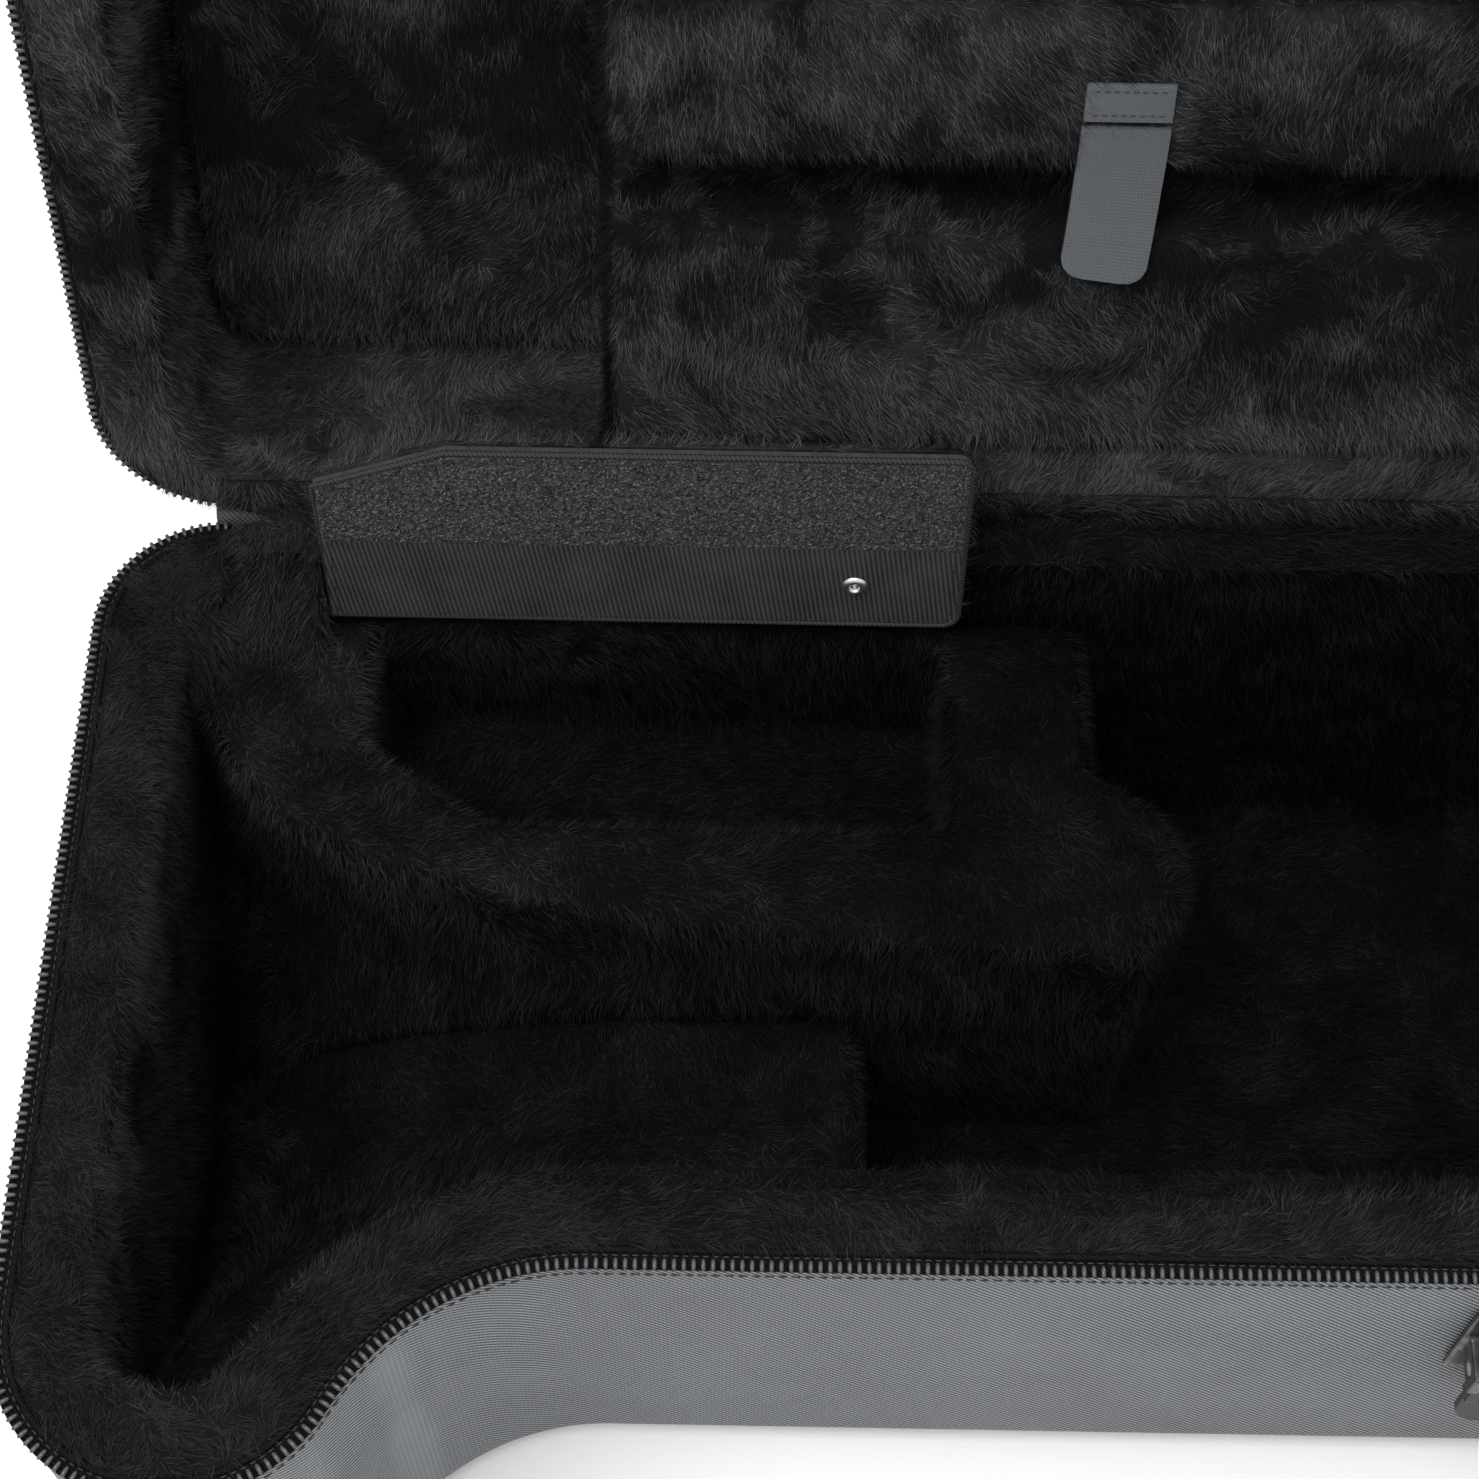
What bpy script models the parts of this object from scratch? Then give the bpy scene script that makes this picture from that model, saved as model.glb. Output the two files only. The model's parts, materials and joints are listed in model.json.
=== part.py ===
"""A soft-sided case for a tenor trombone, lying on its base with the lid open.

The base and the lid are foam trays inside a woven cover and a plush lining.
Both have the same outline, which is wider at the bell end.  All lengths are in
metres.  The origin is on the underside, midway along the case and midway
across its bell end; +X runs from the bell end to the far end, +Y to the hinge.
"""

import math

import bmesh
import bpy
from mathutils import Matrix, Vector

# Overall sizes
CASE_LENGTH = 0.910
BELL_END_WIDTH = 0.298
FRONT_STEP = 0.064
BASE_HEIGHT = 0.170
LID_HEIGHT = 0.095
LID_OPEN_ANGLE = math.radians(104.0)
FLAP_OPEN_ANGLE = math.radians(98.0)

# Outline of the case, seen from above
REAR_CORNER_RADIUS = 0.037
FRONT_CORNER_RADIUS = 0.048
END_CORNER_RADIUS = 0.042
STEP_NOSE_RADIUS = 0.045
STEP_HOLLOW_RADIUS = 0.076
FRONT_FLAT = 0.0018
CORNER_STEPS = 6
STEP_STEPS = 5
ROD_SIDES = 12
TURNED_SIDES = 16
PIN_SIDES = 8
WRAP_SIDES = 8
SHARP_ANGLE = math.radians(40.0)

# Layers of a wall, from the outside in
GAP = 0.0003
COVER = 0.0016
SIDE_FOAM = 0.0180
FRONT_FOAM = 0.0225
REAR_FOAM = 0.0050
FLOOR_FOAM = 0.0120
LINING = 0.0030
REAR_LINING = 0.0023
BASE_EDGE_ROUND = 0.018
LID_EDGE_ROUND = 0.028
EDGE_STEPS = 3
INNER_EDGE_ROUND = 0.008
PLUSH_EDGE = 0.006

# Zip, piping and rim, as depths below the plane where base and lid meet
RIM_DROP = 0.0012
COVER_DROP = 0.0032
TAPE_THICKNESS = 0.0008
TAPE_OVERHANG = 0.0010
TAPE_WIDTH = 0.0068
COIL_WIDTH = 0.0024
COIL_HEIGHT = 0.0013
PIPING_WIDTH = 0.0016
PIPING_HEIGHT = 0.0014
REAR_PIPING_WIDTH = 0.0012
RIM_NOTCH = 0.0095

# Hinge
HINGE_SETBACK = 0.0030
HINGE_BEAD_RADIUS = 0.0022
HINGE_TAPE_HEIGHT = 0.022
HINGE_TAPE_THICKNESS = 0.0010
HINGE_END_INSET = 0.040

# The instrument that the case is shaped round
BELL_AXIS_FROM_REAR = 0.1530
BELL_AXIS_BELOW_RIM = 0.040
BELL_RIM_RADIUS = 0.108
BELL_RIM_FROM_END = 0.0260
BELL_THROAT = 0.0274
BELL_POWER = 0.7
BELL_SECTION_LENGTH = 0.560
BELL_STATIONS = 12
BELL_CLEARANCE = 0.005
NECK_RADIUS = 0.012
NECK_CLEARANCE = 0.015
CUTTER_OVERRUN = 0.005
CUTTER_SIDES = 12

# Plush-covered insert with the accessory compartment
TRAY_BELOW_RIM = 0.030
TRAY_FRONT_FROM_REAR = 0.1310
LOBE_RADIUS = 0.029
LOBE_FROM_REAR = 0.0964
LOBE_FROM_END = 0.3015
LOBE_FRONT_ANGLE = -60.0
COMPARTMENT_START = 0.0785
COMPARTMENT_LENGTH = 0.181
COMPARTMENT_DEPTH = 0.065
COMPARTMENT_REAR_FROM_REAR = 0.0154
COMPARTMENT_FRONT_FROM_REAR = 0.0859
CHAMFER_LENGTH = 0.040
CHAMFER_WIDTH = 0.026

# Flap over the compartment
FLAP_BOARD_THICKNESS = 0.0022
FLAP_LENGTH = 0.195
FLAP_DEPTH = 0.0742
FLAP_START = 0.0668
FLAP_HINGE_FROM_REAR = 0.0134
FLAP_HINGE_BELOW_RIM = 0.0240
FLAP_HINGE_CLEARANCE = 0.0015
FLAP_CHAMFER_WIDTH = 0.015
FLAP_CORNER = 0.005
FLAP_HEM = 0.0006
HOOK_STRIP_START = 0.035
FLAP_PLUSH = 0.0013
RIVET_RADIUS = 0.0037
RIVET_BORE_RADIUS = 0.0013
RIVET_SHANK_RADIUS = 0.0022
RIVET_HEIGHT = 0.0012
RIVET_FROM_HINGE = 0.0190
RIVET_FROM_END = 0.0330

# Other inserts in the base
CRADLE_END = 0.232
CRADLE_BELOW_RIM = 0.066
REST_START = 0.500
REST_LENGTH = 0.055
REST_BELOW_RIM = 0.046
END_BLOCK_LENGTH = 0.060
END_BLOCK_BELOW_RIM = 0.040
BOW_TUBE_CLEARANCE = 0.014
BOW_SPACING = 0.120
BOW_END_WALL = 0.008

# Lid inserts
SLIDE_BLOCK_START = 0.1530
SLIDE_BLOCK_BELOW_RIM = 0.020
SLIDE_TUBE_NEAR = 0.1050
SLIDE_TUBE_FAR = 0.1800
SLIDE_REACH = 0.840
SLIDE_GROOVE_WIDTH = 0.0240
SLIDE_GROOVE_DEPTH = 0.0300
BELL_PAD_THICKNESS = 0.012

# Slide straps
STRAP_PLACE_SHARES = (0.3286, 0.7200)
STRAP_FROM_REAR = 0.1300
STRAP_WIDTH = 0.0250
STRAP_LENGTH = 0.0500
STRAP_THICKNESS = 0.0016
STRAP_ANCHOR_LENGTH = 0.0120

# Carry handle on the front wall
HANDLE_FROM_END = 0.470
HANDLE_LENGTH = 0.130
HANDLE_DROP = 0.040
HANDLE_WEB_WIDTH = 0.0250
HANDLE_WEB_THICKNESS = 0.0030
HANDLE_BAR_HEIGHT = 0.0140
HANDLE_OFFSET = 0.0100
HANDLE_BELOW_RIM = 0.048
HANDLE_WRAP_HEIGHT = 0.0260
HANDLE_WRAP_THICKNESS = 0.0130
HANDLE_WRAP_SHARES = ((-1.0, 0.90), (-0.6, 1.0), (0.0, 1.04), (0.6, 1.0), (1.0, 0.90))
HANDLE_PIN_RADIUS = 0.0020
HANDLE_EYE_RADIUS = 0.0055
HANDLE_PLATE_WIDTH = 0.036
HANDLE_PLATE_HEIGHT = 0.044
HANDLE_PLATE_THICKNESS = 0.0020
HANDLE_EAR_THICKNESS = 0.0035
RUNNING_GAP = 0.0005

# Shoulder strap rings on the end walls
RING_FROM_REAR = 0.075
RING_BELOW_RIM = 0.060
RING_WIDTH = 0.038
RING_HEIGHT = 0.030
RING_WIRE_RADIUS = 0.0020
RING_BEND_RADIUS = 0.0060
RING_LOOP_RADIUS = 0.0048
RING_TAB_RISE = 0.0100
WIRE_SIDES = 8
RING_STAND_OFF = 0.0065
TAB_WIDTH = 0.024
TAB_HEIGHT = 0.040
TAB_THICKNESS = 0.0016

# Feet on the hinge side
FOOT_RADIUS = 0.011
FOOT_HEIGHT = 0.006
FOOT_CHAMFER = 0.0015
FOOT_PLACE_SHARES = (0.12, 0.88)
FOOT_HEIGHT_SHARES = (0.18, 0.66)

# Zip sliders and their pulls
SLIDER_LENGTH = 0.0110
SLIDER_HEIGHT = 0.0080
SLIDER_THICKNESS = 0.0024
SLIDER_EAR = 0.0012
SLIDER_PITCH = 0.030
SLIDER_FROM_REAR = 0.048
PULL_LENGTH = 0.026
PULL_WIDTH = 0.0070
PULL_THICKNESS = 0.0014
PULL_PIN_RADIUS = 0.0009
PULL_EYE_RADIUS = 0.0024
PULL_EYE_WIDTH = 0.0040
PULL_STAND_OFF = 0.0030

# Document pocket on the outside of the lid
POCKET_LENGTH = 0.400
POCKET_WIDTH = 0.170
POCKET_DEPTH = 0.016
POCKET_CORNER = 0.025
POCKET_FROM_REAR = 0.035
POCKET_EDGE = 0.009
POCKET_ZIP_WIDTH = 0.026
POCKET_ZIP_FROM_EDGE = 0.030

# Places worked out from the sizes above
BELL_END_X = -CASE_LENGTH / 2
FAR_END_X = CASE_LENGTH / 2
REAR_Y = BELL_END_WIDTH / 2
FRONT_Y = -BELL_END_WIDTH / 2
NECK_FRONT_Y = FRONT_Y + FRONT_STEP
RIM_Z = BASE_HEIGHT
AXIS_Y = REAR_Y - BELL_AXIS_FROM_REAR
AXIS_Z = RIM_Z - BELL_AXIS_BELOW_RIM
HINGE_Y = REAR_Y + HINGE_SETBACK
TRAY_Z = RIM_Z - TRAY_BELOW_RIM
SIDE_INSET = COVER + GAP + SIDE_FOAM + GAP + LINING
FRONT_INSET = COVER + GAP + FRONT_FOAM + GAP + LINING
REAR_INSET = COVER + GAP + REAR_FOAM + GAP + REAR_LINING
FLOOR_Z = COVER + GAP + FLOOR_FOAM + GAP + LINING
FLAP_HINGE_Y = REAR_Y - FLAP_HINGE_FROM_REAR
FLAP_HINGE_Z = RIM_Z - FLAP_HINGE_BELOW_RIM
FLAP_THICKNESS = TRAY_BELOW_RIM - FLAP_HINGE_BELOW_RIM - GAP
STEP_ANGLE = math.acos(1 - FRONT_STEP / (STEP_NOSE_RADIUS + STEP_HOLLOW_RADIUS))
NOSE_X = BELL_END_X + FRONT_CORNER_RADIUS + FRONT_FLAT
NECK_X = NOSE_X + (STEP_NOSE_RADIUS + STEP_HOLLOW_RADIUS) * math.sin(STEP_ANGLE)

# Colour, roughness and metallic value of each kind of material
FINISHES = {
    "foam": ((0.85, 0.85, 0.83), 0.9, 0.0),
    "nylon": ((0.045, 0.047, 0.048), 0.6, 0.0),
    "plush": ((0.012, 0.014, 0.014), 0.95, 0.0),
    "tape": ((0.012, 0.012, 0.013), 0.7, 0.0),
    "coil": ((0.02, 0.02, 0.022), 0.35, 0.0),
    "piping": ((0.08, 0.085, 0.09), 0.5, 0.0),
    "board": ((0.03, 0.03, 0.03), 0.8, 0.0),
    "hook": ((0.03, 0.035, 0.035), 0.7, 0.0),
    "ribbed": ((0.025, 0.03, 0.03), 0.6, 0.0),
    "webbing": ((0.10, 0.11, 0.115), 0.7, 0.0),
    "steel": ((0.75, 0.75, 0.76), 0.2, 1.0),
    "dark_metal": ((0.06, 0.06, 0.065), 0.4, 1.0),
    "rubber": ((0.015, 0.015, 0.015), 0.8, 0.0),
}


class Pivot:
    """An axis that pieces turn about, placed as it lies when the case is shut."""

    def __init__(self, name, place, axis="X", angle=0.0, parent=None):
        self.place = Vector(place)
        self.empty = bpy.data.objects.new(name, None)
        bpy.context.collection.objects.link(self.empty)
        if parent:
            self.empty.parent = parent.empty
            self.empty.location = self.place - parent.place
        else:
            self.empty.location = self.place
        self.empty.rotation_euler = Matrix.Rotation(angle, 3, axis).to_euler()


def clear_scene():
    """Empty the scene before the model is made."""
    for item in list(bpy.data.objects):
        bpy.data.objects.remove(item, do_unlink=True)


def set_finish(piece, kind):
    """Give a piece a Principled material of its own."""
    colour, roughness, metallic = FINISHES[kind]
    material = bpy.data.materials.new(piece.name + "_" + kind)
    material.use_nodes = True
    shader = material.node_tree.nodes["Principled BSDF"]
    shader.inputs["Base Color"].default_value = (*colour, 1.0)
    shader.inputs["Roughness"].default_value = roughness
    shader.inputs["Metallic"].default_value = metallic
    material.diffuse_color = (*colour, 1.0)
    piece.data.materials.append(material)


def add_object(name, bm, pivot=None):
    """Turn a bmesh, drawn as if the case were shut, into an object under its pivot."""
    if pivot:
        bmesh.ops.translate(bm, verts=bm.verts, vec=-pivot.place)
    bmesh.ops.recalc_face_normals(bm, faces=bm.faces)
    mesh = bpy.data.meshes.new(name)
    bm.to_mesh(mesh)
    bm.free()
    piece = bpy.data.objects.new(name, mesh)
    bpy.context.collection.objects.link(piece)
    if pivot:
        piece.parent = pivot.empty
    return piece


def add_part(name, bm, kind, pivot=None, smooth=False):
    """Add one piece of the case."""
    piece = add_object(name, bm, pivot)
    set_finish(piece, kind)
    if smooth:
        piece.data.shade_smooth()
        piece.data.set_sharp_from_angle(angle=SHARP_ANGLE)
    return piece


def join_shape(piece, bm, operation, pivot=None):
    """Cut a helper shape out of a piece, or unite it with the piece."""
    helper = add_object(piece.name + "_" + operation.lower(), bm, pivot)
    helper.hide_render = True
    helper.display_type = "WIRE"
    modifier = piece.modifiers.new(helper.name, "BOOLEAN")
    modifier.operation = operation
    modifier.solver = "EXACT"
    modifier.object = helper


def arc(centre, radii, start, end, steps):
    """Points of an elliptical arc, its angles in degrees."""
    points = []
    for step in range(steps + 1):
        angle = math.radians(start + (end - start) * step / steps)
        points.append((centre[0] + radii[0] * math.cos(angle), centre[1] + radii[1] * math.sin(angle)))
    return points


def case_outline(side, rear, front):
    """Outline of the case from above, drawn in by three margins, from rear left anticlockwise."""
    rear_radius = REAR_CORNER_RADIUS
    front_radius = FRONT_CORNER_RADIUS
    end_radius = END_CORNER_RADIUS
    turn = math.degrees(STEP_ANGLE)
    nose = STEP_NOSE_RADIUS - front
    hollow = STEP_HOLLOW_RADIUS + front
    points = arc((BELL_END_X + rear_radius, REAR_Y - rear_radius),
                 (rear_radius - side, rear_radius - rear), 90, 180, CORNER_STEPS)
    points += arc((BELL_END_X + front_radius, FRONT_Y + front_radius),
                  (front_radius - side, front_radius - front), 180, 270, CORNER_STEPS)
    points += arc((NOSE_X, FRONT_Y + STEP_NOSE_RADIUS), (nose, nose), 270, 270 + turn, STEP_STEPS)
    points += arc((NECK_X, NECK_FRONT_Y - STEP_HOLLOW_RADIUS), (hollow, hollow),
                  90 + turn, 90, STEP_STEPS)[1:]
    points += arc((FAR_END_X - end_radius, NECK_FRONT_Y + end_radius),
                  (end_radius - side, end_radius - front), 270, 360, CORNER_STEPS)
    points += arc((FAR_END_X - rear_radius, REAR_Y - rear_radius),
                  (rear_radius - side, rear_radius - rear), 0, 90, CORNER_STEPS)
    return points


def crossing(before, here, axis, line):
    """Where the straight line through two points reaches a value of one coordinate."""
    share = (line - before[axis]) / (here[axis] - before[axis])
    return tuple(before[i] + share * (here[i] - before[i]) for i in (0, 1))


def clipped(outline, axis, limit, keep_low):
    """Outline that keeps one side of a line across X (axis 0) or Y (axis 1), at any margin."""
    sign = 1 if keep_low else -1
    plain = outline(0)
    kept = []
    for index, here in enumerate(plain):
        inside = sign * (limit - here[axis]) >= 0
        was_inside = sign * (limit - plain[index - 1][axis]) >= 0
        if inside != was_inside:
            kept.append((index - 1, index))
        if inside:
            kept.append((None, index))

    def shape(margin):
        """The kept part drawn in, with the cut on the same edges as at no margin."""
        points = outline(margin)
        line = limit - sign * margin
        result = []
        for before, here in kept:
            if before is not None:
                result.append(crossing(points[before], points[here], axis, line))
                continue
            point = list(points[here])
            point[axis] = sign * min(sign * point[axis], sign * line)
            result.append(tuple(point))
        return result
    return shape


def loft(sections, closed=False):
    """A solid through rings of equal length, capped at both ends unless it closes on itself."""
    bm = bmesh.new()
    rings = [[bm.verts.new(point) for point in section] for section in sections]
    pairs = list(zip(rings, rings[1:]))
    if closed:
        pairs.append((rings[-1], rings[0]))
    for low, high in pairs:
        for index in range(len(low)):
            bm.faces.new((low[index - 1], low[index], high[index], high[index - 1]))
    if not closed:
        bm.faces.new(rings[0])
        bm.faces.new(rings[-1])
    return bm


def level_ring(points, z):
    """An outline lifted to one height."""
    return [(x, y, z) for x, y in points]


def prism(points, low, high):
    """An outline drawn up from one height to another."""
    return loft([level_ring(points, low), level_ring(points, high)])


def soft_prism(outline, low, high, edge, foot=INNER_EDGE_ROUND - LINING):
    """A prism rounded at its face and bevelled at its foot; outline(margin) is its shape drawn in."""
    sections = []
    if foot:
        sections.append(level_ring(outline(foot), low))
    sections.append(level_ring(outline(0), low + math.copysign(foot, high - low)))
    for margin, drop in round_edge(edge, EDGE_STEPS):
        sections.append(level_ring(outline(margin), high - math.copysign(drop, high - low)))
    return loft(sections)


def round_edge(radius, steps):
    """Margins and drops from a wall, round an edge, to the flat beside it."""
    return [(radius * (1 - math.cos(math.pi / 2 * step / steps)),
             radius * (1 - math.sin(math.pi / 2 * step / steps))) for step in range(steps + 1)]


def box(low, high):
    """A box between two corners."""
    return prism([(low[0], low[1]), (high[0], low[1]), (high[0], high[1]), (low[0], high[1])],
                 low[2], high[2])


def rounded_box(low, high, radius):
    """Outline function of a rectangle with rounded corners."""
    def outline(margin):
        """The rectangle drawn in by a margin."""
        near = (low[0] + radius, low[1] + radius)
        far = (high[0] - radius, high[1] - radius)
        points = []
        for start, centre in ((0, far), (90, (near[0], far[1])), (180, near), (270, (far[0], near[1]))):
            points += arc(centre, (radius - margin, radius - margin), start, start + 90, CORNER_STEPS // 2)
        return points
    return outline


def rod(start, end, radius, sides=ROD_SIDES):
    """A round rod between two points."""
    start, end = Vector(start), Vector(end)
    turn = (end - start).to_track_quat("Z", "Y")
    sections = []
    for place in (start, end):
        sections.append([place + turn @ Vector((radius * math.cos(2 * math.pi * side / sides),
                                                radius * math.sin(2 * math.pi * side / sides), 0))
                         for side in range(sides)])
    return loft(sections)


def along_zip(outer, inner, low, high):
    """A bar of oblong section along the zip, from hinge end to hinge end round the front."""
    sections = []
    for (x_out, y_out), (x_in, y_in) in zip(outer, inner):
        sections.append([(x_out, y_out, low), (x_out, y_out, high), (x_in, y_in, high), (x_in, y_in, low)])
    return loft(sections)


def base_level(height):
    """Height above the floor of a point at a height above the base's underside."""
    return height


def lid_level(height):
    """Height above the floor, lid shut, of a point at a height below the lid's top."""
    return RIM_Z + LID_HEIGHT - height


def edge_sections(margins, radius, floor, level):
    """Rings from a tray's floor round its lower edge to its wall; margins are side, rear, front."""
    side, rear, front = margins
    sections = []
    for margin, rise in reversed(round_edge(radius, EDGE_STEPS)):
        sections.append(level_ring(case_outline(side + margin, rear + margin, front + margin),
                                   level(floor + rise)))
    return sections


def make_cover(prefix, height, edge, level, pivot):
    """Woven nylon skin round the outside of a tray."""
    rim = level(height - COVER_DROP)
    sections = edge_sections((0, 0, 0), edge, 0, level)
    sections.append(level_ring(case_outline(0, 0, 0), rim))
    sections.append(level_ring(case_outline(COVER, COVER, COVER), rim))
    sections += reversed(edge_sections((COVER, COVER, COVER), edge - COVER, COVER, level))
    add_part(prefix + "_cover", loft(sections), "nylon", pivot, smooth=True)


def make_shell(prefix, height, edge, level, pivot):
    """Moulded foam tray that stiffens the case."""
    out = COVER + GAP
    inner = (out + SIDE_FOAM, out + REAR_FOAM, out + FRONT_FOAM)
    rim = level(height - RIM_DROP - LINING - GAP)
    sections = edge_sections((out, out, out), edge - out, out, level)
    sections.append(level_ring(case_outline(out, out, out), rim))
    sections.append(level_ring(case_outline(*inner), rim))
    sections += reversed(edge_sections(inner, INNER_EDGE_ROUND, out + FLOOR_FOAM, level))
    add_part(prefix + "_foam_shell", loft(sections), "foam", pivot, smooth=True)


def make_lining(prefix, height, level, pivot):
    """Plush skin over the foam's inside and its rim."""
    out = COVER + GAP
    outer = (out + SIDE_FOAM + GAP, out + REAR_FOAM + GAP, out + FRONT_FOAM + GAP)
    inner = (SIDE_INSET, REAR_INSET, FRONT_INSET)
    flange = (RIM_NOTCH, out, RIM_NOTCH)
    under = level(height - RIM_DROP - LINING)
    rim = level(height - RIM_DROP)
    floor = out + FLOOR_FOAM + GAP
    sections = edge_sections(outer, INNER_EDGE_ROUND, floor, level)
    sections.append(level_ring(case_outline(*outer), under))
    sections.append(level_ring(case_outline(*flange), under))
    sections.append(level_ring(case_outline(*flange), rim))
    sections.append(level_ring(case_outline(*inner), rim))
    sections += reversed(edge_sections(inner, INNER_EDGE_ROUND - LINING, floor + LINING, level))
    add_part(prefix + "_lining", loft(sections), "plush", pivot, smooth=True)


def make_zip(prefix, height, level, pivot):
    """Zip tape, its coil and the piping beside it, along the rim from hinge end to hinge end."""
    tape_out = -TAPE_OVERHANG
    tape_in = tape_out + TAPE_WIDTH
    tape_low = height - COVER_DROP + GAP
    coil_low = tape_low + TAPE_THICKNESS + GAP
    pipe_out = tape_in + GAP
    rear_pipe_in = COVER
    rear_pipe_out = rear_pipe_in - REAR_PIPING_WIDTH
    rear_in = rear_pipe_out - GAP
    bands = {
        "zip_tape": ((tape_out, tape_out), (tape_in, rear_in), tape_low, TAPE_THICKNESS, "tape"),
        "zip_coil": ((tape_out, tape_out), (tape_out + COIL_WIDTH, rear_in), coil_low, COIL_HEIGHT, "coil"),
        "piping": ((pipe_out, rear_pipe_out), (pipe_out + PIPING_WIDTH, rear_pipe_in), tape_low,
                   PIPING_HEIGHT, "piping"),
    }
    for name, (outer, inner, low, thickness, kind) in bands.items():
        bar = along_zip(case_outline(outer[0], outer[1], outer[0]),
                        case_outline(inner[0], inner[1], inner[0]),
                        level(low), level(low + thickness))
        add_part(prefix + "_" + name, bar, kind, pivot)


def make_hinge_tape(prefix, height, level, pivot):
    """Strip of nylon sewn along the rear wall beside the hinge fold."""
    top = height - HINGE_BEAD_RADIUS - GAP
    ends = (BELL_END_X + HINGE_END_INSET, FAR_END_X - HINGE_END_INSET)
    low = (ends[0], REAR_Y + GAP, level(top - HINGE_TAPE_HEIGHT))
    high = (ends[1], REAR_Y + GAP + HINGE_TAPE_THICKNESS, level(top))
    add_part(prefix + "_hinge_tape", box(low, high), "nylon", pivot)


def make_tray(prefix, height, edge, level, pivot=None):
    """Everything that the base and the lid have alike."""
    make_cover(prefix, height, edge, level, pivot)
    make_shell(prefix, height, edge, level, pivot)
    make_lining(prefix, height, level, pivot)
    make_zip(prefix, height, level, pivot)
    make_hinge_tape(prefix, height, level, pivot)


def make_hinge_fold():
    """Rolled fold of nylon on the hinge line."""
    ends = (BELL_END_X + HINGE_END_INSET, FAR_END_X - HINGE_END_INSET)
    fold = rod((ends[0], HINGE_Y, RIM_Z), (ends[1], HINGE_Y, RIM_Z), HINGE_BEAD_RADIUS)
    add_part("hinge_fold", fold, "nylon", smooth=True)


def bell_radius(distance):
    """Radius of the bell at a distance from its rim, by the law of a flared horn."""
    flare = BELL_RIM_RADIUS * (BELL_THROAT / (distance + BELL_THROAT)) ** BELL_POWER
    return max(flare + BELL_CLEARANCE, NECK_RADIUS + NECK_CLEARANCE)


def bell_cutter():
    """The bell and neck with their clearance, and the way up out of the case."""
    sections = []
    top = RIM_Z + CUTTER_OVERRUN
    for station in range(BELL_STATIONS + 1):
        share = (station / BELL_STATIONS) ** 2
        reach = share * BELL_SECTION_LENGTH
        radius = bell_radius(reach)
        x = BELL_END_X + BELL_RIM_FROM_END + reach
        if station == 0:
            x = BELL_END_X + SIDE_INSET - CUTTER_OVERRUN
        bowl = arc((AXIS_Y, AXIS_Z), (radius, radius), 180, 360, CUTTER_SIDES)
        bowl += [(AXIS_Y + radius, top), (AXIS_Y - radius, top)]
        sections.append([(x, y, z) for y, z in bowl])
    return loft(sections)


def base_inside(margin=0.0):
    """Outline of the space inside the base's lining."""
    drawn_in = GAP + margin
    return case_outline(SIDE_INSET + drawn_in, REAR_INSET + drawn_in, FRONT_INSET + drawn_in)


def tray_outline(margin):
    """Outline of the insert behind the bell, with its rounded lobe towards the slide."""
    rear_left = base_inside(margin)[:CORNER_STEPS + 1]
    front = REAR_Y - TRAY_FRONT_FROM_REAR + margin
    lobe = (BELL_END_X + LOBE_FROM_END, REAR_Y - LOBE_FROM_REAR)
    round_end = arc(lobe, (LOBE_RADIUS - margin, LOBE_RADIUS - margin), LOBE_FRONT_ANGLE, 90, CORNER_STEPS)
    right = lobe[0] - margin
    front_edge = [(rear_left[-1][0], front), (round_end[0][0], front)]
    return rear_left + front_edge + round_end + [(right, rear_left[0][1])]


def make_accessory_tray():
    """Insert with the accessory compartment, hollowed for the bell."""
    bottom = FLOOR_Z + GAP
    tray = add_part("accessory_tray", soft_prism(tray_outline, bottom, TRAY_Z, PLUSH_EDGE), "plush")
    left = BELL_END_X + COMPARTMENT_START
    right = left + COMPARTMENT_LENGTH
    rear = REAR_Y - COMPARTMENT_REAR_FROM_REAR
    front = REAR_Y - COMPARTMENT_FRONT_FROM_REAR
    points = [(left, rear), (left, front + CHAMFER_WIDTH), (left + CHAMFER_LENGTH, front),
              (right, front), (right, rear)]
    join_shape(tray, prism(points, TRAY_Z - COMPARTMENT_DEPTH, TRAY_Z + CUTTER_OVERRUN), "DIFFERENCE")
    bell_helper = add_object("bell_space", bell_cutter())
    bell_helper.hide_render = True
    bell_helper.display_type = "WIRE"
    cut_with(tray, bell_helper)
    return bell_helper


def cut_with(piece, helper):
    """Cut a shared helper out of a piece."""
    modifier = piece.modifiers.new("cut_" + helper.name, "BOOLEAN")
    modifier.operation = "DIFFERENCE"
    modifier.solver = "EXACT"
    modifier.object = helper


def make_cradle(bell_helper):
    """Insert under the bell, hollowed to its shape."""
    top = RIM_Z - CRADLE_BELOW_RIM
    rear = REAR_Y - TRAY_FRONT_FROM_REAR - GAP
    outline = clipped(clipped(base_inside, 1, rear, True), 0, BELL_END_X + CRADLE_END, True)
    cradle = add_part("bell_cradle", soft_prism(outline, FLOOR_Z + GAP, top, PLUSH_EDGE), "plush")
    cut_with(cradle, bell_helper)


def make_neck_rest(bell_helper):
    """Insert across the front half of the base that holds the neck."""
    top = RIM_Z - REST_BELOW_RIM
    left = BELL_END_X + REST_START
    low = (left, NECK_FRONT_Y + FRONT_INSET + GAP)
    high = (left + REST_LENGTH, REAR_Y - TRAY_FRONT_FROM_REAR)
    outline = rounded_box(low, high, PLUSH_EDGE + GAP)
    rest = add_part("neck_rest", soft_prism(outline, FLOOR_Z + GAP, top, PLUSH_EDGE), "plush")
    cut_with(rest, bell_helper)


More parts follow.
